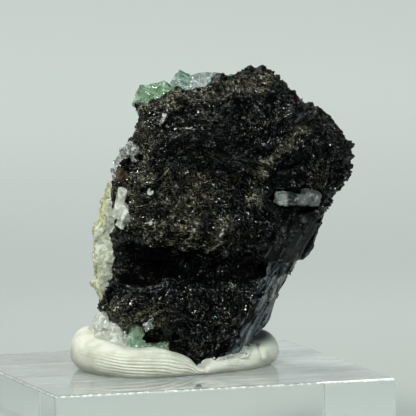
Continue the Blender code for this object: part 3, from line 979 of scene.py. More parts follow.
@dataclass
class SchorlMass:
    """The black mass: the CAD solid remeshed, broken into facets and drawn into bands and ribs."""

    voxel: float = 0.20
    softness: float = 0.6
    smoothing: int = 2
    smooth_angle: float = 38.0
    band_height: float = 0.55
    band_middle: float = 0.62
    band_size: tuple[float, float, float] = (3.0, 0.95, 2.4)
    band_share: float = 0.62
    fine_band_size: tuple[float, float, float] = (1.5, 0.42, 1.2)
    fine_band_share: float = 0.38
    coarse_facets: Facets = (1.25, 1.5, 0.55, 0.55)
    fine_facets: Facets = (0.42, 1.2, 0.22, 0.60)
    crack_depth: float = 0.07
    ledge_height: float = 0.26
    ledge_size: tuple[float, float, float] = (4.2, 1.7, 3.0)
    ledge_count: float = 2.2
    ledge_base: float = 0.6
    ledge_edge: float = 0.22
    column_facets: Facets = (1.5, 9.0, 0.75, 0.30)
    groove_facets: Facets = (0.5, 14.0, 0.20, 0.35)
    column_wander: float = 0.9
    rib_sink: float = 0.32
    step_depth: float = 0.40
    step_heights: Span = (12.1, 11.8)
    step_fade: Span = (8.0, 11.0)
    hollow_depth: float = 2.1
    knob_height: float = 0.7
    crust_sink: float = 0.35
    crust_left: Span = (-6.4, -7.2)
    crust_low: Span = (7.0, 8.0)
    crust_high: Span = (20.0, 19.0)
    highest: float = 0.50
    rim_sink: float = 0.40
    rim_height: float = 15.6
    rim_wander: float = 1.6
    rim_fade: float = 1.2
    front_dust: float = 0.20
    back_dust: float = 0.15
    finish: SchorlFinish = field(default_factory=SchorlFinish)

    def build(self) -> bpy.types.Object:
        """Builds the mass and dresses it.

        Returns:
            The finished piece.
        """
        mass = remeshed_copy("schorl", "schorl_mass", self.voxel, self.softness, self.smoothing)
        pairs = list(zip(local_points(mass), local_normals(mass)))
        moved = []
        dust = []
        striated = []
        for point, normal in pairs:
            grown = max(face.share(point, normal) for face in STRIATED_FACES)
            low = self.below_rim(point)
            ribbed = max(grown * low, self.columns_at(point, normal))
            height, crest = self.relief(point, normal, ribbed, grown * (1.0 - low))
            moved.append(point + normal * height)
            dust.append(crest)
            striated.append(ribbed)
        move_points(mass, moved)
        set_attribute(mass, "dust", dust)
        set_attribute(mass, "striated", striated)
        # How pale the striated faces' painted sheen is, and how far the gloss is lowered, as painted shade in
        # the hollows
        for name, measure in (("shade", self.shade), ("pit", self.dullness)):
            set_attribute(mass, name, [measure(point, normal) for point, normal in pairs])
        set_flow(mass, moved)
        for name, measure in (("vein", self.vein), ("stain", self.stain)):
            set_attribute(mass, name, [measure(point) for point in moved])
        smooth_by_angle(mass, self.smooth_angle)
        finish_piece(mass, self.finish.make(), "schorl", "schorl")
        return mass

    def columns_at(self, point: Vector, normal: Vector) -> float:
        """Finds the columns that break out of the front at the right.

        Args:
            point: A place in the specimen's frame.
            normal: The surface's normal there.

        Returns:
            How much the place belongs to them, from 0 to 1.
        """
        across = point.x + self.column_wander * noise.noise(point / 1.3)
        upward = point.z + self.column_wander * noise.noise(point / 0.9)
        weight = max(area.at(Vector((across, point.y, upward))) for area in COLUMN_AREAS)
        return smooth_step(2.0 * weight) * rise(normal.y, 0.4, 0.0)

    def below_rim(self, point: Vector) -> float:
        """Returns 1 where the front is low enough for grown faces, fading to 0 above."""
        height = (point.z - self.rim_height + self.rim_wander * noise.noise(point / 1.2)) / self.rim_fade
        return 1.0 - smooth_step(height) * rise(point.y, 4.0, 1.0)

    def band(self, point: Vector) -> float:
        """Returns the crests of the bands that rise to the right, from 0 in a furrow to 1 on a crest.

        Args:
            point: A place in the specimen's frame.

        Returns:
            The height of the bands there.
        """
        along, across, through = flow_place(point)
        size = self.band_size
        crest = 1.0 - abs(2.0 * noise.noise(Vector((along / size[0], across / size[1], through / size[2]))))
        size = self.fine_band_size
        place = Vector((along / size[0], across / size[1], through / size[2] + 17.0))
        fine = 1.0 - abs(2.0 * noise.noise(place))
        return max(0.0, self.band_share * crest + self.fine_band_share * fine)

    def ledge(self, point: Vector) -> float:
        """Returns the steps of overlapping shells along the bands, in steps of one.

        Args:
            point: A place in the specimen's frame.

        Returns:
            The number of the shell, with a smooth edge between two of them.
        """
        along, across, through = flow_place(point)
        size = self.ledge_size
        place = Vector((along / size[0], across / size[1], through / size[2] + 5.0))
        level = self.ledge_count * noise.noise(place) - self.ledge_base
        return math.floor(level) + smooth_step((level - math.floor(level)) / self.ledge_edge)

    def relief(self, point: Vector, normal: Vector, ribbed: float, rim: float) -> tuple[float, float]:
        """Returns the surface's fine height and its dust at one place.

        Args:
            point: A place in the specimen's frame.
            normal: The surface's normal there.
            ribbed: The share of a striated face there.
            rim: The share of the broken rim above the striated faces.

        Returns:
            The height in millimetres, and the dust from 0 to 1.
        """
        calm = self.calm(point, normal)
        hollow = self.hollow(point, normal)
        crest = self.band(point)
        coarse, _ = facet_height(point, *self.coarse_facets)
        fine, inside = facet_height(point, *self.fine_facets)
        fine -= self.crack_depth * rise(inside, 0.25, 0.0)
        broken = (1.0 - 0.55 * calm) * coarse + (1.0 - 0.45 * calm) * fine
        broken += self.band_height * (crest - self.band_middle)
        broken += self.ledge_height * (1.0 - 0.6 * calm) * self.ledge(point)
        broken += self.knob_height * summed(KNOB_AREAS, point) - self.hollow_depth * hollow
        crust = rise(point.z, *self.crust_low) * rise(point.z, *self.crust_high)
        crust *= rise(point.x, *self.crust_left)
        broken = min(broken - self.crust_sink * crust, self.highest) - self.rim_sink * rim
        columns, _ = facet_height(point, *self.column_facets)
        grooves, _ = facet_height(point, *self.groove_facets)
        step = self.step_depth * rise(point.z, *self.step_heights) * rise(point.z, *self.step_fade)
        height = (1.0 - ribbed) * broken + ribbed * (columns + grooves - self.rib_sink - step)
        front = facing_front(normal)
        dusty = self.front_dust + summed(DUST_AREAS, point) * front + self.back_dust * (1.0 - front)
        # The hollows get no dust and stay black: painted shade, beside their deeper relief
        dusty *= (0.25 + 0.95 * crest) * (1.0 - 0.9 * calm) * (1.0 - 0.85 * ribbed) * (1.0 - hollow)
        return height, min(1.0, dusty)

    def vein(self, point: Vector) -> float:
        """Finds the pale streaks and crumbs on the front.

        Args:
            point: A place in the specimen's frame.

        Returns:
            How pale the place is, from 0 up.
        """
        wander = 0.25 * noise.noise(Vector((point.z / 0.9, point.x / 2.0, 3.0)))
        off_streak = abs(point.x + 0.7 - 0.42 * (point.z - 28.4) + wander)
        streak = rise(point.z, 26.9, 27.4) * rise(point.z, 29.8, 29.4) * rise(off_streak, 0.34, 0.14)
        off_line = abs(point.z - 26.75 - 0.5 * rise(point.x, 0.6, -0.8) + wander)
        line = 0.8 * rise(point.x, -1.0, -0.6) * rise(point.x, 2.9, 2.3) * rise(off_line, 0.20, 0.06)
        crumbs = max(area.at(point) for area in PALE_AREAS)
        patchy = 0.65 + 1.6 * noise.noise(point / 0.35)
        return max(streak, line, crumbs) * patchy * rise(point.y, -2.0, -3.0)

    def stain(self, point: Vector) -> float:
        """Returns where the brown patch on the upper left side lies."""
        away = math.hypot((point.x + 5.7) / 1.3, point.z - 21.7) + 0.6 * noise.noise(point / 0.6)
        return rise(away, 1.0, 0.5) * rise(point.y, 1.0, 0.0)

    def hollow(self, point: Vector, normal: Vector) -> float:
        """Returns how deep in one of the front's hollows a place lies."""
        return min(1.0, summed(HOLLOW_AREAS, point)) * facing_front(normal)

    def calm(self, point: Vector, normal: Vector) -> float:
        """Returns how much a place belongs to the smooth dark bands."""
        return min(1.0, summed(CALM_AREAS, point)) * facing_front(normal)

    def dullness(self, point: Vector, normal: Vector) -> float:
        """Returns how far the gloss is lowered: fully in the hollows, as painted shade, and by half on the
        smooth bands.
        """
        return max(self.hollow(point, normal), 0.5 * self.calm(point, normal))

    def shade(self, point: Vector, normal: Vector) -> float:
        """Returns how pale the striated faces are painted: dark above, painted sheen below, and on the outer
        edge that faces right a tan-grey that is partly wear and partly painted light.
        """
        outer = rise(normal.x, 0.72, 0.87) * rise(point.z, 12.0, 11.4)
        return 0.16 + 0.39 * rise(point.z, 12.4, 11.8) + 0.45 * outer


@dataclass
class ScaleShape:
    """One small broken scale or splinter, cut from a cube by planes."""

    size: tuple[float, float, float]
    cuts: int
    seed: int
    depth: Span = (0.45, 0.75)

    def make(self) -> tuple[np.ndarray, list[list[int]]]:
        """Makes the scale with Blender's own tools and reads it.

        Returns:
            Its points and its faces.
        """
        deselect_all()
        bpy.ops.mesh.primitive_cube_add(size=1.0)
        item = take_primitive("scale_shape")
        item.scale = self.size
        apply_transform(item)
        chance = np.random.RandomState(self.seed)
        bpy.ops.object.mode_set(mode="EDIT")
        for _ in range(self.cuts):
            direction = chance.normal(size=3)
            direction /= np.linalg.norm(direction)
            reach = float(np.abs(direction) @ np.array(self.size)) * 0.5
            bpy.ops.mesh.select_all(action="SELECT")
            place = direction * reach * chance.uniform(*self.depth)
            bpy.ops.mesh.bisect(plane_co=tuple(place), plane_no=tuple(direction), use_fill=True,
                                clear_outer=True)
        bpy.ops.object.mode_set(mode="OBJECT")
        points = np.array([vert.co for vert in item.data.vertices])
        faces = [list(face.vertices) for face in item.data.polygons]
        bpy.data.objects.remove(item, do_unlink=True)
        return points, faces


@dataclass
class SchorlScales:
    """The thousands of scales and splinters that stand on the broken faces of the mass."""

    count: int = 7600
    seed: int = 11
    shapes: tuple[ScaleShape, ...] = (
        ScaleShape((1.0, 0.62, 0.20), 4, 3),
        ScaleShape((1.3, 0.40, 0.26), 4, 8),
        ScaleShape((0.8, 0.70, 0.34), 5, 21),
    )
    smallest: float = 0.14
    size_range: float = 0.30
    sink: float = 0.03
    bare_foot: float = 1.6
    tilt: float = 0.20
    turn: float = 24.0
    turn_spread: float = 34.0
    finish: SchorlFinish = field(default_factory=SchorlFinish)

    def build(self, mass: bpy.types.Object) -> bpy.types.Object:
        """Strews the scales over the mass as one joined mesh.

        Args:
            mass: The finished mass.

        Returns:
            The finished piece.
        """
        chance = np.random.RandomState(self.seed)
        places, normals, dust = self.choose_places(mass, chance)
        masters = [shape.make() for shape in self.shapes]
        points = []
        faces = []
        tones = []
        start = 0
        for place, normal, tone in zip(places, normals, dust):
            shape_points, shape_faces = masters[chance.randint(len(masters))]
            size = self.smallest + self.size_range * chance.beta(1.2, 3.8)
            turn = self.turn_of(normal, chance)
            points.append((shape_points * size) @ turn.T + place)
            faces.extend([[start + index for index in face] for face in shape_faces])
            value = min(1.0, tone * chance.uniform(0.2, 1.6))
            tones.extend([value] * len(shape_points))
            start += len(shape_points)
        joined = [Vector(point) for point in np.concatenate(points)]
        mesh = bpy.data.meshes.new("schorl_scales")
        mesh.from_pydata([TO_WORLD @ point for point in joined], [], faces)
        scales = new_object("schorl_scales", mesh)
        set_attribute(scales, "dust", tones)
        set_flow(scales, joined)
        for name in ("striated", "shade", "pit", "vein", "stain"):
            set_attribute(scales, name, [0.0] * len(tones))
        finish_piece(scales, self.finish.make(), "schorl")
        return scales

    def choose_places(self, mass: bpy.types.Object, chance: np.random.RandomState) -> tuple:
        """Chooses where the scales stand, more of them where the mass is broken.

        Args:
            mass: The finished mass.
            chance: The seeded source of chance.

        Returns:
            The places, the normals there and the dust there, as arrays.
        """
        mesh = mass.data
        points = np.array(local_points(mass))
        normals = np.array(local_normals(mass))
        striated = np.zeros(len(points), np.float32)
        dust = np.zeros(len(points), np.float32)
        mesh.attributes["striated"].data.foreach_get("value", striated)
        mesh.attributes["dust"].data.foreach_get("value", dust)
        weights = (1.0 - striated) ** 3 * (0.35 + dust)
        weights[points[:, 2] < self.bare_foot] = 0.0
        weights /= weights.sum()
        chosen = chance.choice(len(points), self.count, replace=False, p=weights)
        return points[chosen] - normals[chosen] * self.sink, normals[chosen], dust[chosen]

    def turn_of(self, normal: np.ndarray, chance: np.random.RandomState) -> np.ndarray:
        """Lays a scale on the surface, roughly along the bands.

        Args:
            normal: The surface's normal.
            chance: The seeded source of chance.

        Returns:
            The rotation.
        """
        upward = Vector(normal) + Vector(chance.normal(size=3)) * self.tilt
        upward.normalize()
        angle = math.radians(self.turn + self.turn_spread * chance.normal())
        along = Vector((math.cos(angle), 0.25 * chance.normal(), math.sin(angle)))
        side = upward.cross(along).normalized()
        ahead = side.cross(upward)
        return np.array(Matrix((ahead, side, upward)).transposed())


def no_zone(point: Vector, normal: Vector) -> float:
    """Returns no second colour."""
    return 0.0


def crown_zone(point: Vector, normal: Vector) -> float:
    """Returns the dark green of the clear fluorite: the left dome's rim, and a thin line on the right one.

    Args:
        point: A place in the specimen's frame.
        normal: The surface's normal there; not used.

    Returns:
        The share of the second colour.
    """
    wander = 0.35 * noise.noise(point / 0.5)
    inner = rise(point.x, 2.8, 2.0)
    left = rise(point.z + wander, 31.6, 32.0) * inner
    right = rise(point.z + 0.2 * wander, 32.1, 32.3)
    return max(left, 0.8 * right, 0.45 * inner)


def side_zone(point: Vector, normal: Vector) -> float:
    """Returns the yellow-green of the crust's left edge and of its lower tip."""
    edge = rise(0.5 * noise.noise(point / 0.8) - normal.x, 0.30, 0.70)
    return max(edge, rise(point.z, 8.8, 7.6))


def band_zone(point: Vector, normal: Vector) -> float:
    """Returns the darker right part of the long crystal, darkest just beside the pale left part.

    Args:
        point: A place in the specimen's frame.
        normal: The surface's normal there; not used.

    Returns:
        The share of the second colour.
    """
    ragged = point.x + 0.25 * noise.noise(point / 0.5)
    right = rise(ragged, 12.3, 12.6)
    return max(right * rise(ragged, 13.9, 13.4), 0.68 * right)


@dataclass
class CrystalCluster:
    """Crystals grown together, roughened from their CAD solid by broken facets."""

    node: str
    name: str
    slot: str
    finish: CrystalFinish
    voxel: float = 0.14
    smoothing: int = 2
    softness: float = 0.5
    facets: Facets = (0.9, 1.0, 0.35, 0.55)
    crack_depth: float = 0.04
    fine: float = 0.05
    fine_size: float = 0.22
    warp_size: float = 1.9
    back_warp: float = 0.0
    zone_of: Callable[[Vector, Vector], float] = no_zone
    smooth_angle: float = 24.0

    def build(self) -> bpy.types.Object:
        """Builds the cluster and dresses it.

        Returns:
            The finished piece.
        """
        cluster = remeshed_copy(self.node, self.name, self.voxel, self.softness, self.smoothing)
        normals = local_normals(cluster)
        moved = []
        for point, normal in zip(local_points(cluster), normals):
            height, inside = facet_height(point, *self.facets)
            height += self.fine * noise.noise(point / self.fine_size)
            height -= self.crack_depth * rise(inside, 0.2, 0.0)
            behind = rise(point.y, 1.0, 3.5) * rise(point.z, 19.0, 17.5)
            height += self.back_warp * noise.noise(point / self.warp_size) * behind
            moved.append(point + normal * height)
        move_points(cluster, moved)
        set_attribute(cluster, "zone", [self.zone_of(point, normal) for point, normal in zip(moved, normals)])
        smooth_by_angle(cluster, self.smooth_angle)
        finish_piece(cluster, self.finish.make(), self.slot, self.node)
        return cluster


GREEN = CrystalFinish(
    "green_fluorite", tint=(0.60, 0.84, 0.60), deep_tint=(0.40, 0.72, 0.44), cloud=(0.48, 0.66, 0.45),
    cloud_share=0.45, ior=1.434, roughness=0.05, clear=0.85, flaw_size=1.1, grain=0.005)
PALE_GREEN = CrystalFinish(
    "pale_green_fluorite", tint=(0.60, 0.84, 0.62), deep_tint=(0.60, 0.84, 0.62), cloud=(0.46, 0.62, 0.44),
    cloud_share=0.5, ior=1.434, roughness=0.08, clear=0.70, flaw_size=0.9, grain=0.004)
CLEAR = CrystalFinish(
    "clear_fluorite", tint=(0.84, 0.90, 0.87), deep_tint=(0.20, 0.44, 0.31), cloud=(0.78, 0.80, 0.86),
    cloud_share=0.25, ior=1.28, roughness=0.03, clear=0.80, flaw_size=0.8, grain=0.006)
CRUST = CrystalFinish(
    "pale_crust", tint=(0.72, 0.76, 0.62), deep_tint=(0.72, 0.72, 0.40), cloud=(0.80, 0.83, 0.76),
    cloud_share=0.7, ior=1.50, roughness=0.25, clear=0.45)
WHITE = CrystalFinish(
    "white_crystal", tint=(0.66, 0.69, 0.62), deep_tint=(0.66, 0.69, 0.62), cloud=(0.90, 0.91, 0.88),
    cloud_share=0.5, ior=1.50, roughness=0.20, clear=0.18, flaw_size=0.8, grain=0.006)
# Its pale flaws are partly painted highlight: they brighten the grains where their facets would catch the
# light
GLASSY = CrystalFinish(
    "glassy_crystal", tint=(0.90, 0.95, 0.92), deep_tint=(0.88, 0.92, 0.88), cloud=(0.84, 0.88, 0.85),
    cloud_share=0.45, ior=1.50, roughness=0.04, clear=0.90, flaw_size=0.5, grain=0.004)
GREY = CrystalFinish(
    "grey_crystal", tint=(0.30, 0.34, 0.32), deep_tint=(0.006, 0.009, 0.008), cloud=(0.32, 0.36, 0.33),
    cloud_share=0.2, ior=1.50, roughness=0.30, clear=0.30)

CLUSTERS = (
    CrystalCluster("fluorite_green", "green_fluorite", "green_fluorite", GREEN, smoothing=6,
                   facets=(1.0, 1.0, 0.18, 0.40), fine=0.02, smooth_angle=36.0),
    CrystalCluster("fluorite_clear", "clear_fluorite", "clear_fluorite", CLEAR, smoothing=6,
                   facets=(1.6, 1.0, 0.12, 0.22), fine=0.02, zone_of=crown_zone, smooth_angle=40.0),
    CrystalCluster("fluorite_chip", "fluorite_chip_green", "green_fluorite", GREEN),
    CrystalCluster("fluorite_foot", "foot_fluorite", "green_fluorite", PALE_GREEN, smoothing=1,
                   facets=(1.1, 1.0, 0.28, 0.5), fine=0.02, smooth_angle=20.0),
    CrystalCluster("flank_crust", "pale_crust", "pale_crust", CRUST, smoothing=6,
                   facets=(1.5, 2.4, 0.30, 0.36), fine=0.03, back_warp=1.5, zone_of=side_zone,
                   smooth_angle=30.0),
    CrystalCluster("white_wedges", "pale_wedges", "white_crystal", WHITE, voxel=0.12, smoothing=1,
                   facets=(2.4, 1.2, 0.06, 0.25), fine=0.01, smooth_angle=16.0),
    CrystalCluster("foot_crumbs", "white_crumbs", "white_crystal", WHITE, smoothing=1,
                   facets=(0.9, 1.3, 0.40, 0.7), fine=0.02, smooth_angle=16.0),
    CrystalCluster("glassy_grains", "glinting_grains", "glassy_crystal", GLASSY, smoothing=1,
                   facets=(0.8, 1.0, 0.25, 0.8), fine=0.01, smooth_angle=14.0),
    CrystalCluster("glassy_bead", "round_bead", "glassy_crystal", GLASSY, voxel=0.09,
                   facets=(0.7, 1.0, 0.1, 0.4)),
    CrystalCluster("pale_crystal", "long_crystal", "grey_crystal", GREY, voxel=0.11,
                   facets=(0.8, 1.0, 0.16, 0.3), zone_of=band_zone),
)


@dataclass(frozen=True)
class FingerPress:
    """A place where a finger pressed the rope: a dent with fingerprint ridges in it.

    Places along the rope and reaches are in degrees, and depth and height in millimetres.
    """

    turn: float
    around: float
    reach_along: float
    reach_around: float
    depth: float
    ridge_height: float
    slant: float

    def at(self, turn: float, around: float) -> tuple[float, float]:
        """Returns the press's strength and its ridges at one place of the rope.

        Args:
            turn: The place along the rope, in degrees round the ring.
            around: The place round the rope's section, in degrees.

        Returns:
            The strength from 0 to 1, and the skew of the ridges there.
        """
        along = turn_past(self.turn, turn)
        off = turn_past(self.around, around)
        strength = smooth_step(1.5 - math.hypot(along / self.reach_along, off / self.reach_around))
        return strength, self.slant * along - 0.006 * along * math.radians(off)


@dataclass(frozen=True)
class TornFlake:
    """A thin ragged flake of putty that stands off the rope, or a crease where its height is below 0."""

    turn: float
    around: float
    reach_along: float
    reach_around: float
    height: float

    def at(self, turn: float, around: float, point: Vector) -> float:
        """Returns the flake's height at one place of the rope.

        Args:
            turn: The place along the rope, in degrees round the ring.
            around: The place round the rope's section, in degrees.
            point: The same place in the specimen's frame.

        Returns:
            The height above the skin in millimetres.
        """
        along = turn_past(self.turn, turn)
        off = turn_past(self.around, around)
        reach = math.hypot(along / self.reach_along, off / self.reach_around)
        reach += 0.55 * noise.noise(point / 0.8)
        return self.height * smooth_step((1.0 - reach) / 0.16)


@dataclass(frozen=True)
class RopePoint:
    """One of the places that the rope runs through, with its half width and its height there."""

    x: float
    y: float
    half_width: float
    height: float


@dataclass
class PuttyRing:
    """The rope of putty round the specimen's foot, pressed to it by fingers."""

    stations: int = 256
    sides: int = 200
    ridge_pitch: float = 0.45
    ridge_wander: float = 0.12
    fullness: float = 0.85
    sink: float = 1.06
    skin_waves: tuple[Span, ...] = ((0.16, 2.2), (0.05, 0.7))
    bed_middle: Vector = field(default_factory=lambda: Vector((0.4, 0.0, 0.2)))
    bed_height: float = 0.35
    bed_share: float = 0.02
    contact: float = 0.03
    # Where the painted shadow of the mass lies on the rope's right end: its middle along the rope and round
    # its section, its reaches, and its strength
    shadow_turn: float = 352.0
    shadow_around: float = 98.0
    shadow_reach: Span = (20.0, 48.0)
    shadow_strength: float = 0.93
    line: tuple[RopePoint, ...] = (
        RopePoint(2.6, -7.1, 1.2, 0.9),
        RopePoint(1.4, -7.4, 1.6, 1.9),
        RopePoint(-1.2, -8.3, 1.9, 2.9),
        RopePoint(-4.4, -8.6, 2.1, 3.1),
        RopePoint(-7.0, -6.4, 2.2, 3.4),
        RopePoint(-8.8, -3.0, 2.2, 3.8),
        RopePoint(-9.3, 0.6, 2.1, 4.2),
        RopePoint(-7.9, 3.9, 2.0, 3.9),
        RopePoint(-4.9, 6.4, 1.9, 3.5),
        RopePoint(-1.2, 7.4, 1.9, 3.3),
        RopePoint(2.8, 7.2, 1.9, 3.2),
        RopePoint(6.6, 5.6, 1.9, 3.3),
        RopePoint(9.0, 2.9, 2.1, 3.5),
        RopePoint(9.2, 0.0, 2.1, 3.4),
        RopePoint(7.6, -2.8, 2.0, 2.7),
        RopePoint(5.4, -5.0, 1.8, 2.2),
        RopePoint(3.5, -6.5, 1.5, 1.6),
    )
    presses: tuple[FingerPress, ...] = (
        FingerPress(230.0, -4.0, 34.0, 66.0, 0.10, 0.115, 0.012),
        FingerPress(186.0, 30.0, 14.0, 40.0, 0.16, 0.012, 0.0),
        FingerPress(118.0, 20.0, 20.0, 50.0, 0.18, 0.045, 0.02),
        FingerPress(66.0, 10.0, 18.0, 50.0, 0.14, 0.050, -0.02),
        FingerPress(8.0, 25.0, 12.0, 40.0, 0.12, 0.010, 0.0),
        FingerPress(318.0, 20.0, 12.0, 40.0, 0.14, 0.030, 0.03),
    )
    flakes: tuple[TornFlake, ...] = (
        TornFlake(322.0, 42.0, 9.0, 26.0, 0.42),
        TornFlake(338.0, 45.0, 2.2, 60.0, -0.30),
        TornFlake(312.0, 8.0, 6.0, 18.0, 0.14),
        TornFlake(276.0, 10.0, 3.5, 40.0, 0.20),
        TornFlake(96.0, 30.0, 8.0, 22.0, 0.16),
    )
    finish: PuttyFinish = field(default_factory=PuttyFinish)

    def build(self, mass: bpy.types.Object) -> bpy.types.Object:
        """Builds the ring, pressed against the mass.

        Args:
            mass: The finished mass.

        Returns:
            The finished piece.
        """
        deselect_all()
        bpy.ops.mesh.primitive_torus_add(major_segments=self.stations, minor_segments=self.sides,
                                         major_radius=1.0, minor_radius=0.25)
        ring = take_primitive("putty_rope")
        points = []
        painted_shadows = []
        for vert in ring.data.vertices:
            turn = math.degrees(math.atan2(vert.co.y, vert.co.x)) % 360.0
            around = math.degrees(math.atan2(vert.co.z, math.hypot(vert.co.x, vert.co.y) - 1.0))
            points.append(self.surface_point(turn, around))
            painted_shadows.append(self.painted_shadow_at(turn, around))
        points = self.press_to(mass, points)
        points = [Vector((point.x, point.y, max(point.z, 0.0))) for point in points]
        move_points(ring, points)
        set_attribute(ring, "painted_shadow", painted_shadows)
        make_active(ring)
        bpy.ops.object.shade_smooth()
        finish_piece(ring, self.finish.make(), "putty", "putty_ring")
        return ring

    def painted_shadow_at(self, turn: float, around: float) -> float:
        """Returns how dark the painted shadow of the mass lies on the rope's right end, from 0 to 1.

        Args:
            turn: The place along the rope, in degrees round the ring.
            around: The place round its section, in degrees.

        Returns:
            The share of painted shadow.
        """
        along = turn_past(self.shadow_turn, turn) / self.shadow_reach[0]
        off = turn_past(self.shadow_around, around) / self.shadow_reach[1]
        return self.shadow_strength * smooth_step(1.45 - math.hypot(along, off))

    def station(self, turn: float) -> tuple[Vector, Vector, float, float]:
        """Returns the rope's middle, outward direction, half width and height at one place.

        Args:
            turn: The place along the rope, in degrees round the ring.

        Returns:
            The middle, the direction away from the ring's inside, the half width and the height.
        """
        count = len(self.line)
        position = ((turn - 270.0) / 360.0 * count) % count
        position = (count - position) % count
        index = int(position)
        t = position - index
        rows = [self.line[(index + shift) % count] for shift in (-1, 0, 1, 2)]
        places = [Vector((row.x, row.y, 0.0)) for row in rows]
        middle = self.curve(places, t)
        ahead = self.curve(places, t + 0.01) - self.curve(places, t - 0.01)
        outward = Vector((-ahead.y, ahead.x, 0.0)).normalized()
        if outward.dot(middle) < 0.0:
            outward.negate()
        half = self.curve([row.half_width for row in rows], t)
        height = self.curve([row.height for row in rows], t)
        return middle, outward, half, height

    @staticmethod
    def curve(values: list, t: float) -> object:
        """Returns a value on the smooth curve between the second and the third value.

        Args:
            values: Four numbers or vectors.
            t: Where between the second and the third, from 0 to 1.

        Returns:
            The value there.
        """
        before, start, end, after = values
        first = end - before
        second = 2.0 * before - 5.0 * start + 4.0 * end - after
        third = 3.0 * start - before - 3.0 * end + after
        return 0.5 * (2.0 * start + first * t + second * t * t + third * t * t * t)

    def surface_point(self, turn: float, around: float) -> Vector:
        """Returns one point of the rope's skin.

        Args:
            turn: The place along the rope, in degrees round the ring.
            around: The place round its section, in degrees: 0 outside, 90 on top.

        Returns:
            The point in the specimen's frame.
        """
        middle, outward, half, height = self.station(turn)
        angle = math.radians(around)
        out = math.copysign(abs(math.cos(angle)) ** self.fullness, math.cos(angle)) * half
        up = height / 2.0 * (1.0 + math.sin(angle) * self.sink)
        point = middle + outward * out + Vector((0.0, 0.0, up))
        if around < 0.0 and out < 0.0:
            # The rope's inner lower edge is squeezed flat under the foot as a bed that closes the ring
            spread = smooth_step(-out / half) * smooth_step(-around / 60.0)
            point = point.lerp(self.bed_middle + (point - self.bed_middle) * self.bed_share, spread)
            point.z = min(point.z, self.bed_height)
        normal = (outward * math.cos(angle) + Vector((0.0, 0.0, math.sin(angle)))).normalized()
        relief = sum(depth * noise.noise(point / size) for depth, size in self.skin_waves)
        for press in self.presses:
            strength, skew = press.at(turn, around)
            if strength > 0.0:
                path = math.radians(around) * (half + height / 2.0) / 2.0 + skew
                path += self.ridge_wander * noise.noise(point / 1.5)
                ridge = 2.0 * abs(math.cos(math.pi * path / self.ridge_pitch)) - 1.0
                broken = 0.75 + 0.6 * noise.noise(point / 0.9)
                relief += strength * (press.ridge_height * ridge * broken - press.depth)
        for flake in self.flakes:
            relief += flake.at(turn, around, point)
        point += normal * relief
        point.z = max(point.z, 0.0)
        return point

    def press_to(self, mass: bpy.types.Object, points: list[Vector]) -> list[Vector]:
        """Moves the points that lie inside the mass out to its surface.

        Args:
            mass: The finished mass.
            points: The rope's points in the specimen's frame.

        Returns:
            The pressed points.
        """
        tree = BVHTree.FromPolygons(local_points(mass), [tuple(face.vertices) for face in mass.data.polygons])
        pressed = []
        for point in points:
            place, normal, _, _ = tree.find_nearest(point)
            if (point - place).dot(normal) < 0.0:
                outward = Vector((point.x - self.bed_middle.x, point.y - self.bed_middle.y, 0.0)).normalized()
                exit_place, _, _, _ = tree.ray_cast(point, outward)
                if point.z > self.bed_height and exit_place is not None:
                    point = exit_place + outward * self.contact
            pressed.append(point)
        return pressed


@dataclass
class ClearBlock:
    """The square acrylic block, with softly rounded polished edges."""

    edge: float = 0.28
    edge_segments: int = 3
    finish: AcrylicFinish = field(default_factory=AcrylicFinish)

    def build(self) -> bpy.types.Object:
        """Builds the block.

        Returns:
            The finished piece.
        """
        low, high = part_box("acrylic_block")
        deselect_all()
        bpy.ops.mesh.primitive_cube_add(size=1.0, location=(low + high) / 2.0)
        block = take_primitive("clear_block")
        block.scale = high - low
        apply_transform(block)
        bpy.ops.object.mode_set(mode="EDIT")
        bpy.ops.mesh.select_all(action="SELECT")
        bpy.ops.mesh.bevel(offset=self.edge * MM, segments=self.edge_segments)
        bpy.ops.object.mode_set(mode="OBJECT")
        bpy.ops.object.shade_smooth()
        apply_modifier(block, "WEIGHTED_NORMAL", mode="FACE_AREA", weight=100)
        finish_piece(block, self.finish.make(), "acrylic", "acrylic_block")
        return block


@dataclass(frozen=True)
class Lamp:
    """A round lamp, placed by its direction as the camera sees it: right, up, and towards the camera."""

    direction: tuple[float, float, float]
    distance: float
    size: float
    power: float
    colour: Colour
    spread: float


LAMPS = {
    Light.KEY: Lamp((-0.14, 0.55, 0.82), 0.50, 0.07, 0.0280, (0.98, 1.0, 0.94), 24.0),
    Light.SPARK: Lamp((-0.80, 0.75, 0.20), 0.50, 0.05, 0.04, (0.96, 1.0, 0.96), 40.0),
    Light.COOL: Lamp((0.60, 0.65, 0.60), 0.55, 0.03, 0.0045, (0.60, 0.86, 1.0), 14.0),
    Light.FILL: Lamp((0.66, 0.0, 0.75), 0.50, 0.06, 0.0115, (0.98, 1.0, 0.95), 24.0),
    Light.REAR: Lamp((-0.55, 0.70, -0.65), 0.50, 0.20, 0.020, (0.98, 1.0, 0.97), 40.0),
    Light.BACKDROP: Lamp((-0.10, 1.0, 0.0), 1.20, 0.50, 4.1, (0.98, 1.0, 0.99), 105.0),
}


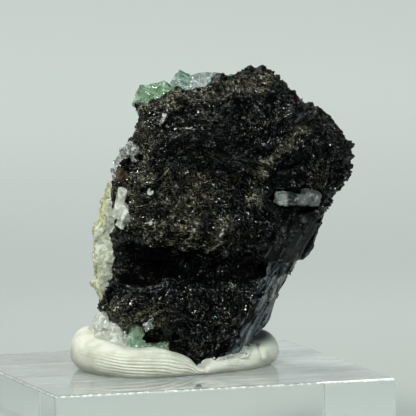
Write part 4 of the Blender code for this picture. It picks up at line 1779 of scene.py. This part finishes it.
@dataclass
class Studio:
    """The camera, the pale sweep and the lamps."""

    azimuth: float = -17.31
    elevation: float = 5.62
    roll: float = -0.78
    pixels: float = 416.0
    focal_pixels: float = 6000.0
    pixels_per_mm: float = 9.125
    aim_right: float = 3.64
    aim_up: float = 17.38
    sensor: float = 36.0
    floor_drop: float = 0.05
    sweep_size: float = 4.4
    sweep_start: float = 0.60
    sweep_radius: float = 0.60
    # Painted shade: within this distance of the specimen the paper is darker, so that the block's faces,
    # which show it, come out darker
    paper_shade_reach: Span = (0.05, 0.18)
    specimen_height: float = 0.028
    backdrop_place: float = 0.52
    room_colour: Colour = (0.86, 0.95, 0.93)
    room_light: float = 0.03
    paper: Colour = (0.70, 0.755, 0.725)
    # Painted shade: the darker paper near the specimen
    shaded_near_paper: Colour = (0.52, 0.575, 0.545)

    def build(self) -> None:
        """Sets up the whole studio."""
        self.add_camera()
        self.add_sweep()
        self.add_lights()
        self.set_world()
        view = bpy.context.scene.view_settings
        view.view_transform = "Standard"
        view.look = "None"

    def axes(self) -> tuple[Vector, Vector, Vector]:
        """Returns the camera's right, up and backward directions, without its roll.

        Returns:
            The three directions.
        """
        turn = math.radians(self.azimuth)
        lift = math.radians(self.elevation)
        back = Vector((math.sin(turn) * math.cos(lift), -math.cos(turn) * math.cos(lift), math.sin(lift)))
        right = Vector((math.cos(turn), math.sin(turn), 0.0))
        return right, back.cross(right), back

    def add_camera(self) -> None:
        """Places the camera at the photograph's angle."""
        right, up, back = self.axes()
        roll = math.radians(self.roll)
        turned_right = right * math.cos(roll) + up * math.sin(roll)
        turned_up = up * math.cos(roll) - right * math.sin(roll)
        distance = self.focal_pixels / self.pixels_per_mm
        aim = turned_right * self.aim_right + turned_up * self.aim_up
        place = (aim + back * distance) * MM + Vector((0.0, 0.0, BLOCK_TOP))
        data = bpy.data.cameras.new("camera")
        data.sensor_width = self.sensor
        data.lens = self.sensor * self.focal_pixels / self.pixels
        data.clip_start = 0.01
        data.clip_end = 10.0
        camera = new_object("camera", data)
        turn = Matrix((turned_right, turned_up, back)).transposed().to_4x4()
        camera.matrix_world = Matrix.Translation(place) @ turn
        bpy.context.scene.camera = camera

    def add_sweep(self) -> None:
        """Makes the pale floor that curves up into the backdrop."""
        deselect_all()
        bpy.ops.mesh.primitive_grid_add(x_subdivisions=2, y_subdivisions=160, size=self.sweep_size)
        sweep = take_primitive("sweep")
        radius = self.sweep_radius
        for vert in sweep.data.vertices:
            run = vert.co.y - self.sweep_start
            if run > 0.0:
                angle = min(run / radius, math.pi / 2.0)
                straight = max(0.0, run - radius * math.pi / 2.0)
                vert.co.y = self.sweep_start + radius * math.sin(angle)
                vert.co.z = radius * (1.0 - math.cos(angle)) + straight
        sweep.rotation_euler = (0.0, 0.0, math.radians(self.azimuth))
        sweep.location = (0.0, 0.0, -self.floor_drop * MM)
        apply_transform(sweep)
        bpy.ops.object.shade_smooth()
        bench = Bench("paper")
        # Painted shade: darker paper near the specimen, seen through the block's faces
        away = bench.add("VectorMath", {0: bench.place}, operation="LENGTH").outputs["Value"]
        colour = bench.mix(bench.rise(away, *self.paper_shade_reach), self.shaded_near_paper, self.paper)
        bench.surface({"Base Color": colour, "Roughness": 0.9, "Specular IOR Level": 0.2})
        sweep.data.materials.append(bench.material)

    def add_lights(self) -> None:
        """Places the lamps: the backdrop's lamp aims at the sweep, and the others at the specimen."""
        right, _, back = self.axes()
        level = Vector((back.x, back.y, 0.0)).normalized()
        for kind, plan in LAMPS.items():
            aim = Vector((0.0, 0.0, self.specimen_height))
            if kind is Light.BACKDROP:
                aim = level * -self.backdrop_place
            across, up, ahead = plan.direction
            toward = (right * across + Vector((0.0, 0.0, up)) + level * ahead).normalized()
            data = bpy.data.lights.new(kind.value, "AREA")
            data.shape = "DISK"
            data.size = plan.size
            data.energy = plan.power
            data.color = plan.colour
            data.spread = math.radians(plan.spread)
            lamp = new_object(kind.value, data)
            lamp.location = aim + toward * plan.distance
            lamp.rotation_mode = "QUATERNION"
            lamp.rotation_quaternion = toward.to_track_quat("Z", "Y")

    def set_world(self) -> None:
        """Sets the dim light of the room."""
        world = bpy.data.worlds.new("room")
        world.use_nodes = True
        background = world.node_tree.nodes["Background"]
        background.inputs["Color"].default_value = (*self.room_colour, 1.0)
        background.inputs["Strength"].default_value = self.room_light
        bpy.context.scene.world = world


def main() -> None:
    """Builds every piece in order."""
    logging.basicConfig(level=logging.INFO, format="%(name)s: %(message)s")
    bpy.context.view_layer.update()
    Studio().build()
    ClearBlock().build()
    mass = SchorlMass().build()
    SchorlScales().build(mass)
    for cluster in CLUSTERS:
        cluster.build()
    PuttyRing().build(mass)


if __name__ == "__main__":
    main()
